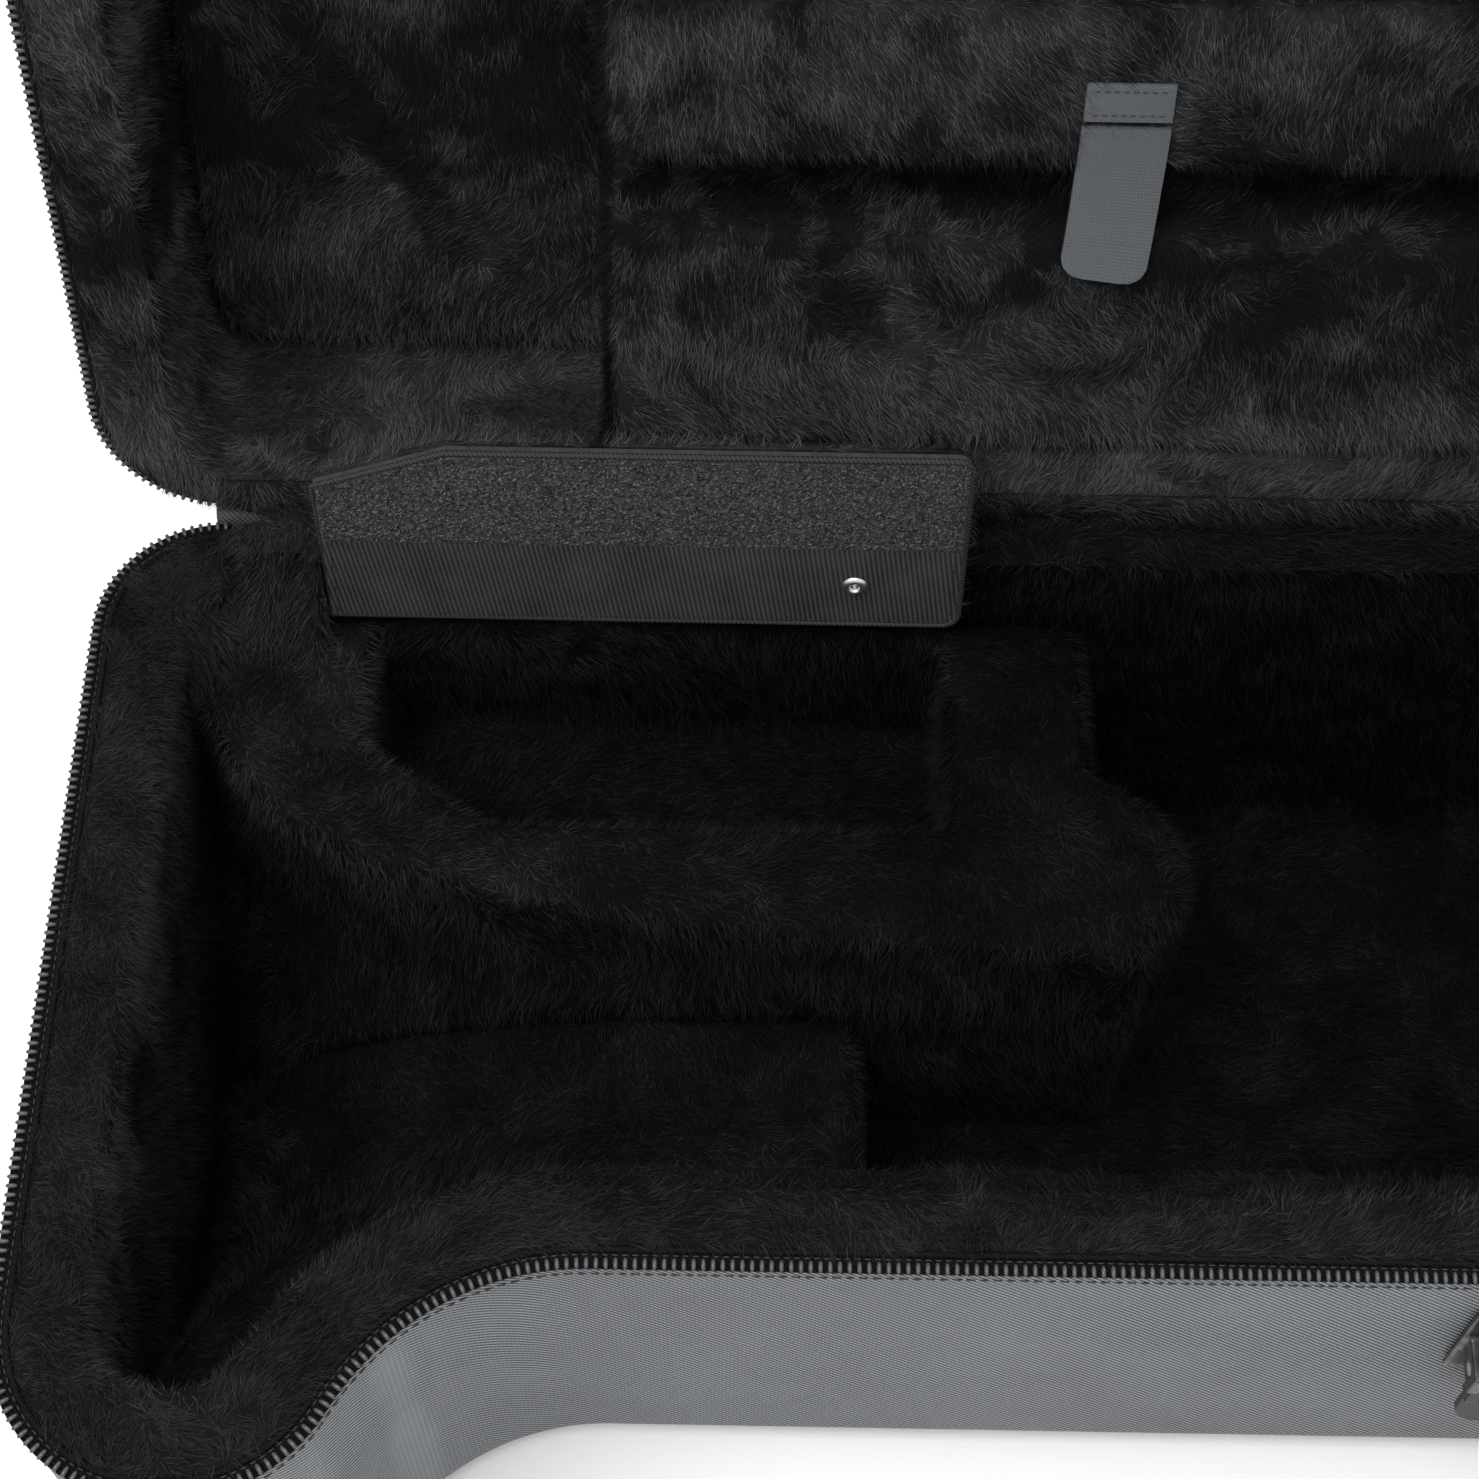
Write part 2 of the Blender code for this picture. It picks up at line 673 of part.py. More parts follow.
def make_bow_block():
    """Insert at the far end, with two grooves for the tubes of the tuning bow."""
    top = RIM_Z - END_BLOCK_BELOW_RIM
    left = FAR_END_X - SIDE_INSET - END_BLOCK_LENGTH
    outline = clipped(base_inside, 0, left, False)
    block = add_part("bow_block", soft_prism(outline, FLOOR_Z + GAP, top, PLUSH_EDGE), "plush")
    for y in (AXIS_Y, AXIS_Y + BOW_SPACING):
        groove = box((left - CUTTER_OVERRUN, y - BOW_TUBE_CLEARANCE, AXIS_Z - BOW_TUBE_CLEARANCE),
                     (FAR_END_X - SIDE_INSET - BOW_END_WALL, y + BOW_TUBE_CLEARANCE, top + CUTTER_OVERRUN))
        join_shape(block, groove, "DIFFERENCE")


def turned(profile, start, direction, closed=False, sides=TURNED_SIDES):
    """A round piece whose profile of radius and reach is turned about an axis."""
    start = Vector(start)
    turn = Vector(direction).to_track_quat("Z", "Y")
    sections = []
    for radius, reach in profile:
        sections.append([start + turn @ Vector((radius * math.cos(2 * math.pi * side / sides),
                                                radius * math.sin(2 * math.pi * side / sides), reach))
                         for side in range(sides)])
    return loft(sections, closed)


def facing_plate(points, low, high, across="Y"):
    """A plate drawn in its own width and height, with its thickness along X or Y."""
    if across == "Y":
        return loft([[(a, place, z) for a, z in points] for place in (low, high)])
    return loft([[(place, a, z) for a, z in points] for place in (low, high)])


def flap_outline(margin=0.0):
    """The flap seen from above when shut: an oblong with one corner cut off at the bell end."""
    left = BELL_END_X + FLAP_START + margin
    right = BELL_END_X + FLAP_START + FLAP_LENGTH - margin
    rear = FLAP_HINGE_Y - FLAP_HINGE_CLEARANCE - margin
    front = FLAP_HINGE_Y - FLAP_DEPTH + margin
    corner = FLAP_CORNER - margin
    points = [(left, rear), (left, front + FLAP_CHAMFER_WIDTH), (left + CHAMFER_LENGTH, front)]
    points += arc((right - corner, front + corner), (corner, corner), 270, 360, CORNER_STEPS // 2)
    points += arc((right - corner, rear - corner), (corner, corner), 0, 90, CORNER_STEPS // 2)
    return points


def make_flap():
    """Lid of the accessory compartment: board, plush on top, nylon and hook strip beneath."""
    pivot = Pivot("flap_hinge", (BELL_END_X + FLAP_START, FLAP_HINGE_Y, FLAP_HINGE_Z), angle=-FLAP_OPEN_ANGLE)
    plush_low = FLAP_HINGE_Z - FLAP_PLUSH
    board_high = plush_low - GAP
    board_low = board_high - FLAP_BOARD_THICKNESS
    skin_high = board_low - GAP
    skin_low = FLAP_HINGE_Z - FLAP_THICKNESS
    split = FLAP_HINGE_Y - HOOK_STRIP_START
    add_part("flap_plush", prism(flap_outline(), plush_low, FLAP_HINGE_Z), "plush", pivot)
    board = add_part("flap_board", prism(flap_outline(FLAP_HEM), board_low, board_high), "board", pivot)
    hooks = prism(clipped(flap_outline, 1, split - GAP, True)(0), skin_low, skin_high)
    add_part("flap_hook_strip", hooks, "hook", pivot)
    face = add_part("flap_ribbed_face", prism(clipped(flap_outline, 1, split, False)(0), skin_low, skin_high),
                    "ribbed", pivot)
    rivet_x = BELL_END_X + FLAP_START + FLAP_LENGTH - RIVET_FROM_END
    place = (rivet_x, FLAP_HINGE_Y - RIVET_FROM_HINGE, skin_low)
    depth = board_high - skin_low
    hole = RIVET_SHANK_RADIUS + GAP
    for piece in (board, face):
        drill = rod((place[0], place[1], skin_low - CUTTER_OVERRUN),
                    (place[0], place[1], board_high + GAP), hole)
        join_shape(piece, drill, "DIFFERENCE", pivot)
    profile = [(RIVET_BORE_RADIUS, -RIVET_HEIGHT), (RIVET_RADIUS, -RIVET_HEIGHT), (RIVET_RADIUS, -GAP),
               (RIVET_SHANK_RADIUS, -GAP), (RIVET_SHANK_RADIUS, depth), (RIVET_BORE_RADIUS, depth)]
    add_part("flap_rivet", turned(profile, place, (0, 0, 1), closed=True), "steel", pivot, smooth=True)


def make_flap_hinge_strip():
    """Plush strip along the rear wall that the flap is sewn to."""
    left = BELL_END_X + FLAP_START
    low = (left, FLAP_HINGE_Y + FLAP_HINGE_CLEARANCE, TRAY_Z + GAP)
    high = (left + FLAP_LENGTH, REAR_Y - REAR_INSET - GAP, FLAP_HINGE_Z)
    add_part("flap_hinge_strip", box(low, high), "plush")


def make_slide_block(pivot):
    """Raised insert in the lid with the two joined grooves that hold the slide."""
    bottom = lid_level(FLOOR_Z + GAP)
    face = RIM_Z + SLIDE_BLOCK_BELOW_RIM
    left = BELL_END_X + SLIDE_BLOCK_START
    outline = clipped(base_inside, 0, left, False)
    block = add_part("slide_block", soft_prism(outline, bottom, face, PLUSH_EDGE), "plush", pivot)
    near = REAR_Y - SLIDE_TUBE_NEAR
    far = REAR_Y - SLIDE_TUBE_FAR
    half = SLIDE_GROOVE_WIDTH / 2
    start = left - CUTTER_OVERRUN
    end = BELL_END_X + SLIDE_REACH
    points = [(start, far - half), (end, far - half), (end, near + half), (start, near + half),
              (start, near - half), (end - SLIDE_GROOVE_WIDTH, near - half),
              (end - SLIDE_GROOVE_WIDTH, far + half), (start, far + half)]
    groove = prism(points, face - CUTTER_OVERRUN, face + SLIDE_GROOVE_DEPTH)
    join_shape(block, groove, "DIFFERENCE", pivot)


def make_bell_pad(pivot):
    """Pad on the floor of the lid's pocket over the bell."""
    bottom = lid_level(FLOOR_Z + GAP)
    outline = clipped(base_inside, 0, BELL_END_X + SLIDE_BLOCK_START - GAP, True)
    top = bottom - BELL_PAD_THICKNESS
    add_part("bell_pad", soft_prism(outline, bottom, top, PLUSH_EDGE), "plush", pivot, smooth=True)


def make_slide_strap(number, share, pivot):
    """A nylon tongue over the slide, and the sewn end that holds it."""
    x = BELL_END_X + share * CASE_LENGTH
    y = REAR_Y - STRAP_FROM_REAR
    z = RIM_Z + SLIDE_BLOCK_BELOW_RIM - GAP
    half = STRAP_WIDTH / 2
    turn = Pivot("slide_strap_hinge_%d" % number, (x, y, z), parent=pivot)
    centre = (x, y + STRAP_LENGTH - half)
    points = [(x - half, y), (x + half, y)] + arc(centre, (half, half), 0, 180, CORNER_STEPS)
    add_part("slide_strap_%d" % number, prism(points, z - STRAP_THICKNESS, z), "webbing", turn)
    end = y - STRAP_THICKNESS - 2 * GAP
    anchor = box((x - half, end - STRAP_ANCHOR_LENGTH, z - STRAP_THICKNESS), (x + half, end, z))
    add_part("strap_anchor_%d" % number, anchor, "webbing", pivot)


def make_handle():
    """Carry handle: a webbing loop with a padded wrap, on pins between two sewn plates."""
    x = BELL_END_X + HANDLE_FROM_END
    y = NECK_FRONT_Y - HANDLE_OFFSET
    z = RIM_Z - HANDLE_BELOW_RIM
    turn = Pivot("handle_hinge", (x, y, z))
    half = HANDLE_LENGTH / 2
    arm = half - HANDLE_WEB_WIDTH
    low = z - HANDLE_DROP - HANDLE_BAR_HEIGHT / 2
    bar_top = low + HANDLE_BAR_HEIGHT
    eye_low = z - HANDLE_PIN_RADIUS - RUNNING_GAP - HANDLE_WEB_THICKNESS / 2
    points = [(x - half, low), (x + half, low), (x + half, eye_low), (x + arm, eye_low), (x + arm, bar_top),
              (x - arm, bar_top), (x - arm, eye_low), (x - half, eye_low)]
    thick = HANDLE_WEB_THICKNESS / 2
    web = add_part("handle_webbing", facing_plate(points, y - thick, y + thick), "webbing", turn)
    for side, name in ((-1, "left"), (1, "right")):
        centre = x + side * (half - HANDLE_WEB_WIDTH / 2)
        eye = HANDLE_WEB_WIDTH / 2
        join_shape(web, rod((centre - eye, y, z), (centre + eye, y, z), HANDLE_EYE_RADIUS), "UNION", turn)
        drill = rod((centre - eye - CUTTER_OVERRUN, y, z), (centre + eye + CUTTER_OVERRUN, y, z),
                    HANDLE_PIN_RADIUS + RUNNING_GAP)
        join_shape(web, drill, "DIFFERENCE", turn)
        make_handle_plate(name, centre, y, z)
    reach = arm - 2 * GAP
    wrap_half = (HANDLE_WRAP_HEIGHT / 2, HANDLE_WRAP_THICKNESS / 2)
    middle = z - HANDLE_DROP
    sections = []
    for share, swell in HANDLE_WRAP_SHARES:
        section = arc((0, 0), (wrap_half[1] * swell, wrap_half[0] * swell), 0, 360, WRAP_SIDES)[1:]
        sections.append([(x + share * reach, y + a, middle + b) for a, b in section])
    wrap = add_part("handle_wrap", loft(sections), "nylon", turn, smooth=True)
    tunnel = box((x - half, y - thick - GAP, low - GAP), (x + half, y + thick + GAP, bar_top + GAP))
    join_shape(wrap, tunnel, "DIFFERENCE", turn)


def make_handle_plate(name, x, y, z):
    """A plate on the front wall with two ears and the pin between them."""
    wall = NECK_FRONT_Y - GAP
    face = wall - HANDLE_PLATE_THICKNESS
    half = HANDLE_PLATE_WIDTH / 2
    rise = HANDLE_PLATE_HEIGHT / 2
    plate = add_part("handle_plate_" + name, box((x - half, face, z - rise), (x + half, wall, z + rise)),
                     "dark_metal")
    inner = HANDLE_WEB_WIDTH / 2 + RUNNING_GAP
    outer = inner + HANDLE_EAR_THICKNESS
    for side in (-1, 1):
        ends = sorted((x + side * inner, x + side * outer))
        ear = box((ends[0], y - HANDLE_EYE_RADIUS, z - HANDLE_EYE_RADIUS),
                  (ends[1], wall - GAP, z + HANDLE_EYE_RADIUS))
        join_shape(plate, ear, "UNION")
    drill = rod((x - outer - CUTTER_OVERRUN, y, z), (x + outer + CUTTER_OVERRUN, y, z),
                HANDLE_PIN_RADIUS + GAP)
    join_shape(plate, drill, "DIFFERENCE")
    add_part("handle_pin_" + name, rod((x - outer, y, z), (x + outer, y, z), HANDLE_PIN_RADIUS), "steel",
             smooth=True)


def make_strap_ring(name, side):
    """A wire ring for a shoulder strap, hung in a webbing tab on an end wall."""
    wall = side * (CASE_LENGTH / 2 + GAP)
    x = side * (CASE_LENGTH / 2 + RING_STAND_OFF)
    y = REAR_Y - RING_FROM_REAR
    z = RIM_Z - RING_BELOW_RIM
    half = TAB_WIDTH / 2
    ends = sorted((wall, wall + side * TAB_THICKNESS))
    tab = add_part("ring_tab_" + name, box((ends[0], y - half, z - TAB_HEIGHT + RING_TAB_RISE),
                                           (ends[1], y + half, z + RING_TAB_RISE)), "webbing")
    join_shape(tab, rod((x, y - half, z), (x, y + half, z), RING_LOOP_RADIUS), "UNION")
    drill = rod((x, y - half - CUTTER_OVERRUN, z), (x, y + half + CUTTER_OVERRUN, z),
                RING_WIRE_RADIUS + RUNNING_GAP)
    join_shape(tab, drill, "DIFFERENCE")
    turn = Pivot("strap_ring_hinge_" + name, (x, y, z), axis="Y")
    half_width = RING_WIDTH / 2
    bend = RING_BEND_RADIUS
    route = []
    for start, along, up in ((0, 1, 0), (90, -1, 0), (180, -1, -1), (270, 1, -1)):
        centre = (y + along * (half_width - bend), z + up * (RING_HEIGHT - 2 * bend) - bend)
        route += arc(centre, (bend, bend), start, start + 90, CORNER_STEPS // 2)
    add_part("strap_ring_" + name, closed_wire(route, x, RING_WIRE_RADIUS), "steel", turn, smooth=True)


def closed_wire(route, x, radius):
    """Round wire that runs along a closed route of Y and Z at one X."""
    sections = []
    for index, (y, z) in enumerate(route):
        before = Vector(route[index - 1])
        after = Vector(route[(index + 1) % len(route)])
        along = (after - before).normalized()
        out = Vector((along.y, -along.x))
        section = []
        for side in range(WIRE_SIDES):
            angle = 2 * math.pi * side / WIRE_SIDES
            reach = radius * math.cos(angle)
            section.append((x + radius * math.sin(angle), y + out.x * reach, z + out.y * reach))
        sections.append(section)
    return loft(sections, closed=True)


def make_feet():
    """Rubber feet on the rear wall, for standing the shut case on its hinge side."""
    number = 0
    for height_share in FOOT_HEIGHT_SHARES:
        for share in FOOT_PLACE_SHARES:
            number += 1
            place = (BELL_END_X + share * CASE_LENGTH, REAR_Y + GAP, height_share * BASE_HEIGHT)
            profile = [(FOOT_RADIUS, 0), (FOOT_RADIUS, FOOT_HEIGHT - FOOT_CHAMFER),
                       (FOOT_RADIUS - FOOT_CHAMFER, FOOT_HEIGHT)]
            add_part("foot_%d" % number, turned(profile, place, (0, 1, 0)), "rubber", smooth=True)


def make_slider(name, y):
    """A zip slider outside the coil at the far end, and the pull that hangs from it."""
    inner = FAR_END_X + TAPE_OVERHANG + GAP
    outer = inner + SLIDER_THICKNESS
    z = RIM_Z
    x = outer + PULL_STAND_OFF
    slide = Pivot("slide_of_" + name, (inner, y, z))
    body = add_part(name, box((inner, y - SLIDER_LENGTH / 2, z - SLIDER_HEIGHT / 2),
                              (outer, y + SLIDER_LENGTH / 2, z + SLIDER_HEIGHT / 2)), "dark_metal", slide)
    gap_half = PULL_EYE_WIDTH / 2 + RUNNING_GAP
    for side in (-1, 1):
        ends = sorted((y + side * gap_half, y + side * (gap_half + SLIDER_EAR)))
        ear = box((outer - GAP, ends[0], z - PULL_EYE_RADIUS),
                  (x + PULL_EYE_RADIUS, ends[1], z + PULL_EYE_RADIUS))
        join_shape(body, ear, "UNION", slide)
    pin_half = gap_half + SLIDER_EAR / 2
    pin = rod((x, y - pin_half, z), (x, y + pin_half, z), PULL_PIN_RADIUS, PIN_SIDES)
    join_shape(body, pin, "UNION", slide)
    turn = Pivot("hinge_of_" + name, (x, y, z), axis="Y", parent=slide)
    thick = PULL_THICKNESS / 2
    neck = PULL_EYE_WIDTH / 2
    half = PULL_WIDTH / 2
    shoulder = z - PULL_EYE_RADIUS - 2 * RUNNING_GAP
    eye_low = z - PULL_PIN_RADIUS - RUNNING_GAP
    points = [(y - half, z - PULL_LENGTH), (y + half, z - PULL_LENGTH), (y + half, shoulder),
              (y + neck, shoulder),
              (y + neck, eye_low), (y - neck, eye_low), (y - neck, shoulder), (y - half, shoulder)]
    pull = add_part("pull_of_" + name, facing_plate(points, x - thick, x + thick, "X"), "dark_metal", turn)
    join_shape(pull, rod((x, y - neck, z), (x, y + neck, z), PULL_EYE_RADIUS - GAP), "UNION", turn)
    drill = rod((x, y - half, z), (x, y + half, z), PULL_PIN_RADIUS + GAP, PIN_SIDES)
    join_shape(pull, drill, "DIFFERENCE", turn)


def make_pocket(pivot):
    """Document pocket on the outside of the lid, with a zip across it."""
    low_z = RIM_Z + LID_HEIGHT + GAP
    high_z = low_z + POCKET_DEPTH
    front = REAR_Y - POCKET_FROM_REAR - POCKET_WIDTH
    outline = rounded_box((-POCKET_LENGTH / 2, front), (POCKET_LENGTH / 2, front + POCKET_WIDTH),
                          POCKET_CORNER)
    add_part("pocket", soft_prism(outline, low_z, high_z, POCKET_EDGE, 0), "nylon", pivot, smooth=True)
    zip_y = front + POCKET_ZIP_FROM_EDGE
    half = POCKET_LENGTH / 2 - POCKET_CORNER
    tape_low = high_z + GAP
    tape_high = tape_low + TAPE_THICKNESS
    tape = box((-half, zip_y - POCKET_ZIP_WIDTH / 2, tape_low),
               (half, zip_y + POCKET_ZIP_WIDTH / 2, tape_high))
    add_part("pocket_zip_tape", tape, "tape", pivot)
    coil_low = tape_high + GAP
    coil = box((-half, zip_y - COIL_WIDTH / 2, coil_low),
               (half, zip_y + COIL_WIDTH / 2, coil_low + COIL_HEIGHT))
    add_part("pocket_zip_coil", coil, "coil", pivot)
    make_pocket_slider(half, zip_y, coil_low + COIL_HEIGHT + GAP, pivot)


def make_pocket_slider(half, y, low, pivot):
    """Slider on the pocket's zip, with a pull that hangs down when the lid is open."""
    x = -half + SLIDER_LENGTH
    high = low + SLIDER_THICKNESS
    z = high + PULL_STAND_OFF
    slide = Pivot("slide_of_pocket_slider", (x, y, low), parent=pivot)
    body = add_part("pocket_slider", box((x - SLIDER_LENGTH / 2, y - SLIDER_HEIGHT / 2, low),
                                         (x + SLIDER_LENGTH / 2, y + SLIDER_HEIGHT / 2, high)),
                    "dark_metal", slide)
    gap_half = PULL_EYE_WIDTH / 2 + RUNNING_GAP
    for side in (-1, 1):
        ends = sorted((x + side * gap_half, x + side * (gap_half + SLIDER_EAR)))
        ear = box((ends[0], y - PULL_EYE_RADIUS, high - GAP),
                  (ends[1], y + PULL_EYE_RADIUS, z + PULL_EYE_RADIUS))
        join_shape(body, ear, "UNION", slide)
    pin_half = gap_half + SLIDER_EAR / 2
    pin = rod((x - pin_half, y, z), (x + pin_half, y, z), PULL_PIN_RADIUS, PIN_SIDES)
    join_shape(body, pin, "UNION", slide)
    turn = Pivot("hinge_of_pocket_slider", (x, y, z), angle=LID_OPEN_ANGLE - math.pi / 2, parent=slide)
    thick = PULL_THICKNESS / 2
    neck = PULL_EYE_WIDTH / 2
    wide = PULL_WIDTH / 2
    shoulder = y + PULL_EYE_RADIUS + 2 * RUNNING_GAP
    eye_end = y + PULL_PIN_RADIUS + RUNNING_GAP
    points = [(x - neck, eye_end), (x + neck, eye_end), (x + neck, shoulder), (x + wide, shoulder),
              (x + wide, y + PULL_LENGTH), (x - wide, y + PULL_LENGTH),
              (x - wide, shoulder), (x - neck, shoulder)]
    pull = add_part("pull_of_pocket_slider", prism(points, z - thick, z + thick), "dark_metal", turn)
    join_shape(pull, rod((x - neck, y, z), (x + neck, y, z), PULL_EYE_RADIUS - GAP), "UNION", turn)
    drill = rod((x - wide, y, z), (x + wide, y, z), PULL_PIN_RADIUS + GAP, PIN_SIDES)
    join_shape(pull, drill, "DIFFERENCE", turn)


def build_case():
    """Make the whole case with its lid and flap open."""
    clear_scene()
    make_tray("base", BASE_HEIGHT, BASE_EDGE_ROUND, base_level)
    make_hinge_fold()
    bell_helper = make_accessory_tray()
    make_cradle(bell_helper)
    make_neck_rest(bell_helper)
    make_bow_block()
    make_flap_hinge_strip()
    make_flap()
    lid = Pivot("lid_hinge", (0, HINGE_Y, RIM_Z), angle=-LID_OPEN_ANGLE)
    make_tray("lid", LID_HEIGHT, LID_EDGE_ROUND, lid_level, lid)
    make_slide_block(lid)
    make_bell_pad(lid)
    for number, share in enumerate(STRAP_PLACE_SHARES, start=1):
        make_slide_strap(number, share, lid)
    make_handle()
    make_strap_ring("left", -1)
    make_strap_ring("right", 1)
    make_feet()
    first = REAR_Y - SLIDER_FROM_REAR
    make_slider("zip_slider_rear", first)
    make_slider("zip_slider_front", first - SLIDER_PITCH)
    make_pocket(lid)


build_case()
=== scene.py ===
"""The trombone case: plush, nylon, zips, webbing and light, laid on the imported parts."""

import json
import math

import bmesh
import bpy
import numpy as np
from mathutils import Matrix, Vector, noise
from mathutils.bvhtree import BVHTree


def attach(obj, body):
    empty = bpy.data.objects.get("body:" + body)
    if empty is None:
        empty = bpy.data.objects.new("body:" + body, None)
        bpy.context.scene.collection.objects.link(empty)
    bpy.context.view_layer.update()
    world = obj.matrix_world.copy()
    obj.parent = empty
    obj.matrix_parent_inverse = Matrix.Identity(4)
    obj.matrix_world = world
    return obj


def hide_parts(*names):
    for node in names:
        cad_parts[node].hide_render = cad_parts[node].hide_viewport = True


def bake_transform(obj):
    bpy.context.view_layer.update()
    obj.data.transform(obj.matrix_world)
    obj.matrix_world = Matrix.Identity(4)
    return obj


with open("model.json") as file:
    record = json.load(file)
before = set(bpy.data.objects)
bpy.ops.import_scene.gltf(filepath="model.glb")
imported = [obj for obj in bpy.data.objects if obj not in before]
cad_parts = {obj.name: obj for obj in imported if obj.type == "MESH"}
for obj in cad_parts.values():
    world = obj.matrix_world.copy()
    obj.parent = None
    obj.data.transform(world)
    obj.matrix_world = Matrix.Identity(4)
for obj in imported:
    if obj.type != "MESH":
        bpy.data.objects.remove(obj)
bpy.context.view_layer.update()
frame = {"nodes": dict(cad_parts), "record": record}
NODES = frame["nodes"]

# Camera
CAMERA_PLACE = Vector((-0.2605, -0.3299, 0.8867))
CAMERA_TILT = math.radians(29.5)
CAMERA_ROLL = math.radians(1.0)
LENS = 68.15
SENSOR = 36.0

camera_data = bpy.data.cameras.new("camera")
camera_data.lens = LENS
camera_data.sensor_width = SENSOR
camera_data.clip_start = 0.01
camera = bpy.data.objects.new("camera", camera_data)
camera.matrix_world = (Matrix.Translation(CAMERA_PLACE) @ Matrix.Rotation(CAMERA_TILT, 4, "X")
                       @ Matrix.Rotation(CAMERA_ROLL, 4, "Z"))
bpy.context.scene.collection.objects.link(camera)
bpy.context.scene.camera = camera

# Places, from the CAD
RIM_Z = 0.170
REAR_Y = 0.149
HALF_LENGTH = 0.455
HINGE = Vector((0.0, 0.152, RIM_Z))
LID_ANGLE = math.radians(104.0)
TO_LID = Matrix.Translation(HINGE) @ Matrix.Rotation(-LID_ANGLE, 4, "X") @ Matrix.Translation(-HINGE)
UP = Vector((0, 0, 1))


# Materials
class Shader:
    """A Principled material with a few short ways to add procedural nodes."""

    def __init__(self, name, colour, roughness=0.6, metallic=0.0, **sockets):
        self.material = bpy.data.materials.new(name)
        self.material.use_nodes = True
        self.tree = self.material.node_tree
        self.base = self.tree.nodes["Principled BSDF"]
        self.base.inputs["Base Color"].default_value = (*colour, 1.0)
        self.base.inputs["Roughness"].default_value = roughness
        self.base.inputs["Metallic"].default_value = metallic
        for socket, value in sockets.items():
            self.base.inputs[socket.replace("_", " ")].default_value = value
        self.material.diffuse_color = (*colour, 1.0)
        where = self.add("ShaderNodeTexCoord")
        self.place, self.normal = where.outputs["Object"], where.outputs["Normal"]

    def add(self, kind, **settings):
        node = self.tree.nodes.new(kind)
        for key, value in settings.items():
            setattr(node, key, value)
        return node

    def link(self, start, end):
        self.tree.links.new(start, end)

    def noise(self, scale, detail=3.0, distortion=0.0):
        node = self.add("ShaderNodeTexNoise")
        node.inputs["Scale"].default_value = scale
        node.inputs["Detail"].default_value = detail
        node.inputs["Distortion"].default_value = distortion
        self.link(self.place, node.inputs["Vector"])
        return node.outputs["Fac"]

    def cells(self, scale):
        node = self.add("ShaderNodeTexVoronoi")
        node.inputs["Scale"].default_value = scale
        self.link(self.place, node.inputs["Vector"])
        return node.outputs["Distance"]

    def stripes(self, direction, period):
        """Soft stripes across a direction, one every period metres."""
        dot = self.add("ShaderNodeVectorMath", operation="DOT_PRODUCT")
        self.link(self.place, dot.inputs[0])
        dot.inputs[1].default_value = Vector(direction).normalized()
        turn = self.maths("SINE", self.maths("MULTIPLY", dot.outputs["Value"], 2 * math.pi / period))
        return self.maths("MULTIPLY_ADD", turn, 0.5, 0.5)

    def maths(self, operation, *values):
        node = self.add("ShaderNodeMath", operation=operation)
        for socket, value in zip(node.inputs, values):
            if isinstance(value, (int, float)):
                socket.default_value = value
            else:
                self.link(value, socket)
        return node.outputs[0]

    def plus(self, first, second):
        return self.maths("ADD", first, second)

    def minus(self, first, second):
        return self.maths("SUBTRACT", first, second)

    def times(self, first, second):
        return self.maths("MULTIPLY", first, second)

    def times_plus(self, first, second, third):
        return self.maths("MULTIPLY_ADD", first, second, third)

    def ramped(self, value, start, end):
        """0 where a value is at start, 1 where it is at end, clipped between."""
        share = self.maths("DIVIDE", self.minus(value, start), end - start)
        return self.maths("MINIMUM", self.maths("MAXIMUM", share, 0.0), 1.0)

    def axes(self, vector):
        split = self.add("ShaderNodeSeparateXYZ")
        self.link(vector, split.inputs[0])
        return [split.outputs[axis] for axis in "XYZ"]

    def colour(self, factor, *stops):
        """Colours by a factor, through a ramp of stops."""
        node = self.add("ShaderNodeValToRGB")
        elements = node.color_ramp.elements
        while len(elements) < len(stops):
            elements.new(0.5)
        for element, (place, colour) in zip(elements, stops):
            element.position = place
            element.color = (*colour, 1.0)
        self.link(factor, node.inputs["Fac"])
        self.link(node.outputs["Color"], self.base.inputs["Base Color"])
        return self

    def bump(self, height, strength=0.5, distance=0.001):
        node = self.add("ShaderNodeBump")
        node.inputs["Strength"].default_value = strength
        node.inputs["Distance"].default_value = distance
        self.link(height, node.inputs["Height"])
        self.link(node.outputs["Normal"], self.base.inputs["Normal"])
        return self


TINT = (0.93, 0.99, 1.06)


def grey(level):
    return tuple(level * share for share in TINT)


# how fine the patches and the grain of the pile are, and how much each counts
PATCH_SCALE, PATCH_SHARE = 34.0, 0.78
GRAIN_SCALE, GRAIN_SHARE = 620.0, 0.22
GRAIN_DEPTH = 0.0008
# heights between which painted shade darkens the lid's pile, and between which most of that painted shade
# goes again
LID_SHADE_HEIGHTS, LID_FADE_HEIGHTS, LID_FADE = (0.205, 0.262), (0.268, 0.305), 0.7
# scale and levels of the dark dimples of painted shade on the lid's pile
DIMPLE_SCALE, DIMPLE_LEVELS = 58.0, (0.54, 0.34)
# painted shade along the crease beside the pocket for the bell, in the pocket's deep part, and on the right
# of the lid
CREASE_X, CREASE_HALF, CREASE_SHADE = -0.3030, 0.0038, 0.45
POCKET_EDGE, POCKET_DEEP_Y, POCKET_SHADE = 0.004, (0.213, 0.222), 0.14
RIGHT_X, RIGHT_HEIGHTS, RIGHT_SHADE = (-0.200, -0.110), (0.185, 0.210), 0.20
# the left end of the base, where painted light lifts the pile, and its rear wall, where painted shade darkens
# it
END_X, END_HEIGHTS, REAR_WALL_Y = (-0.230, -0.400), (0.100, 0.138), (0.125, 0.138)


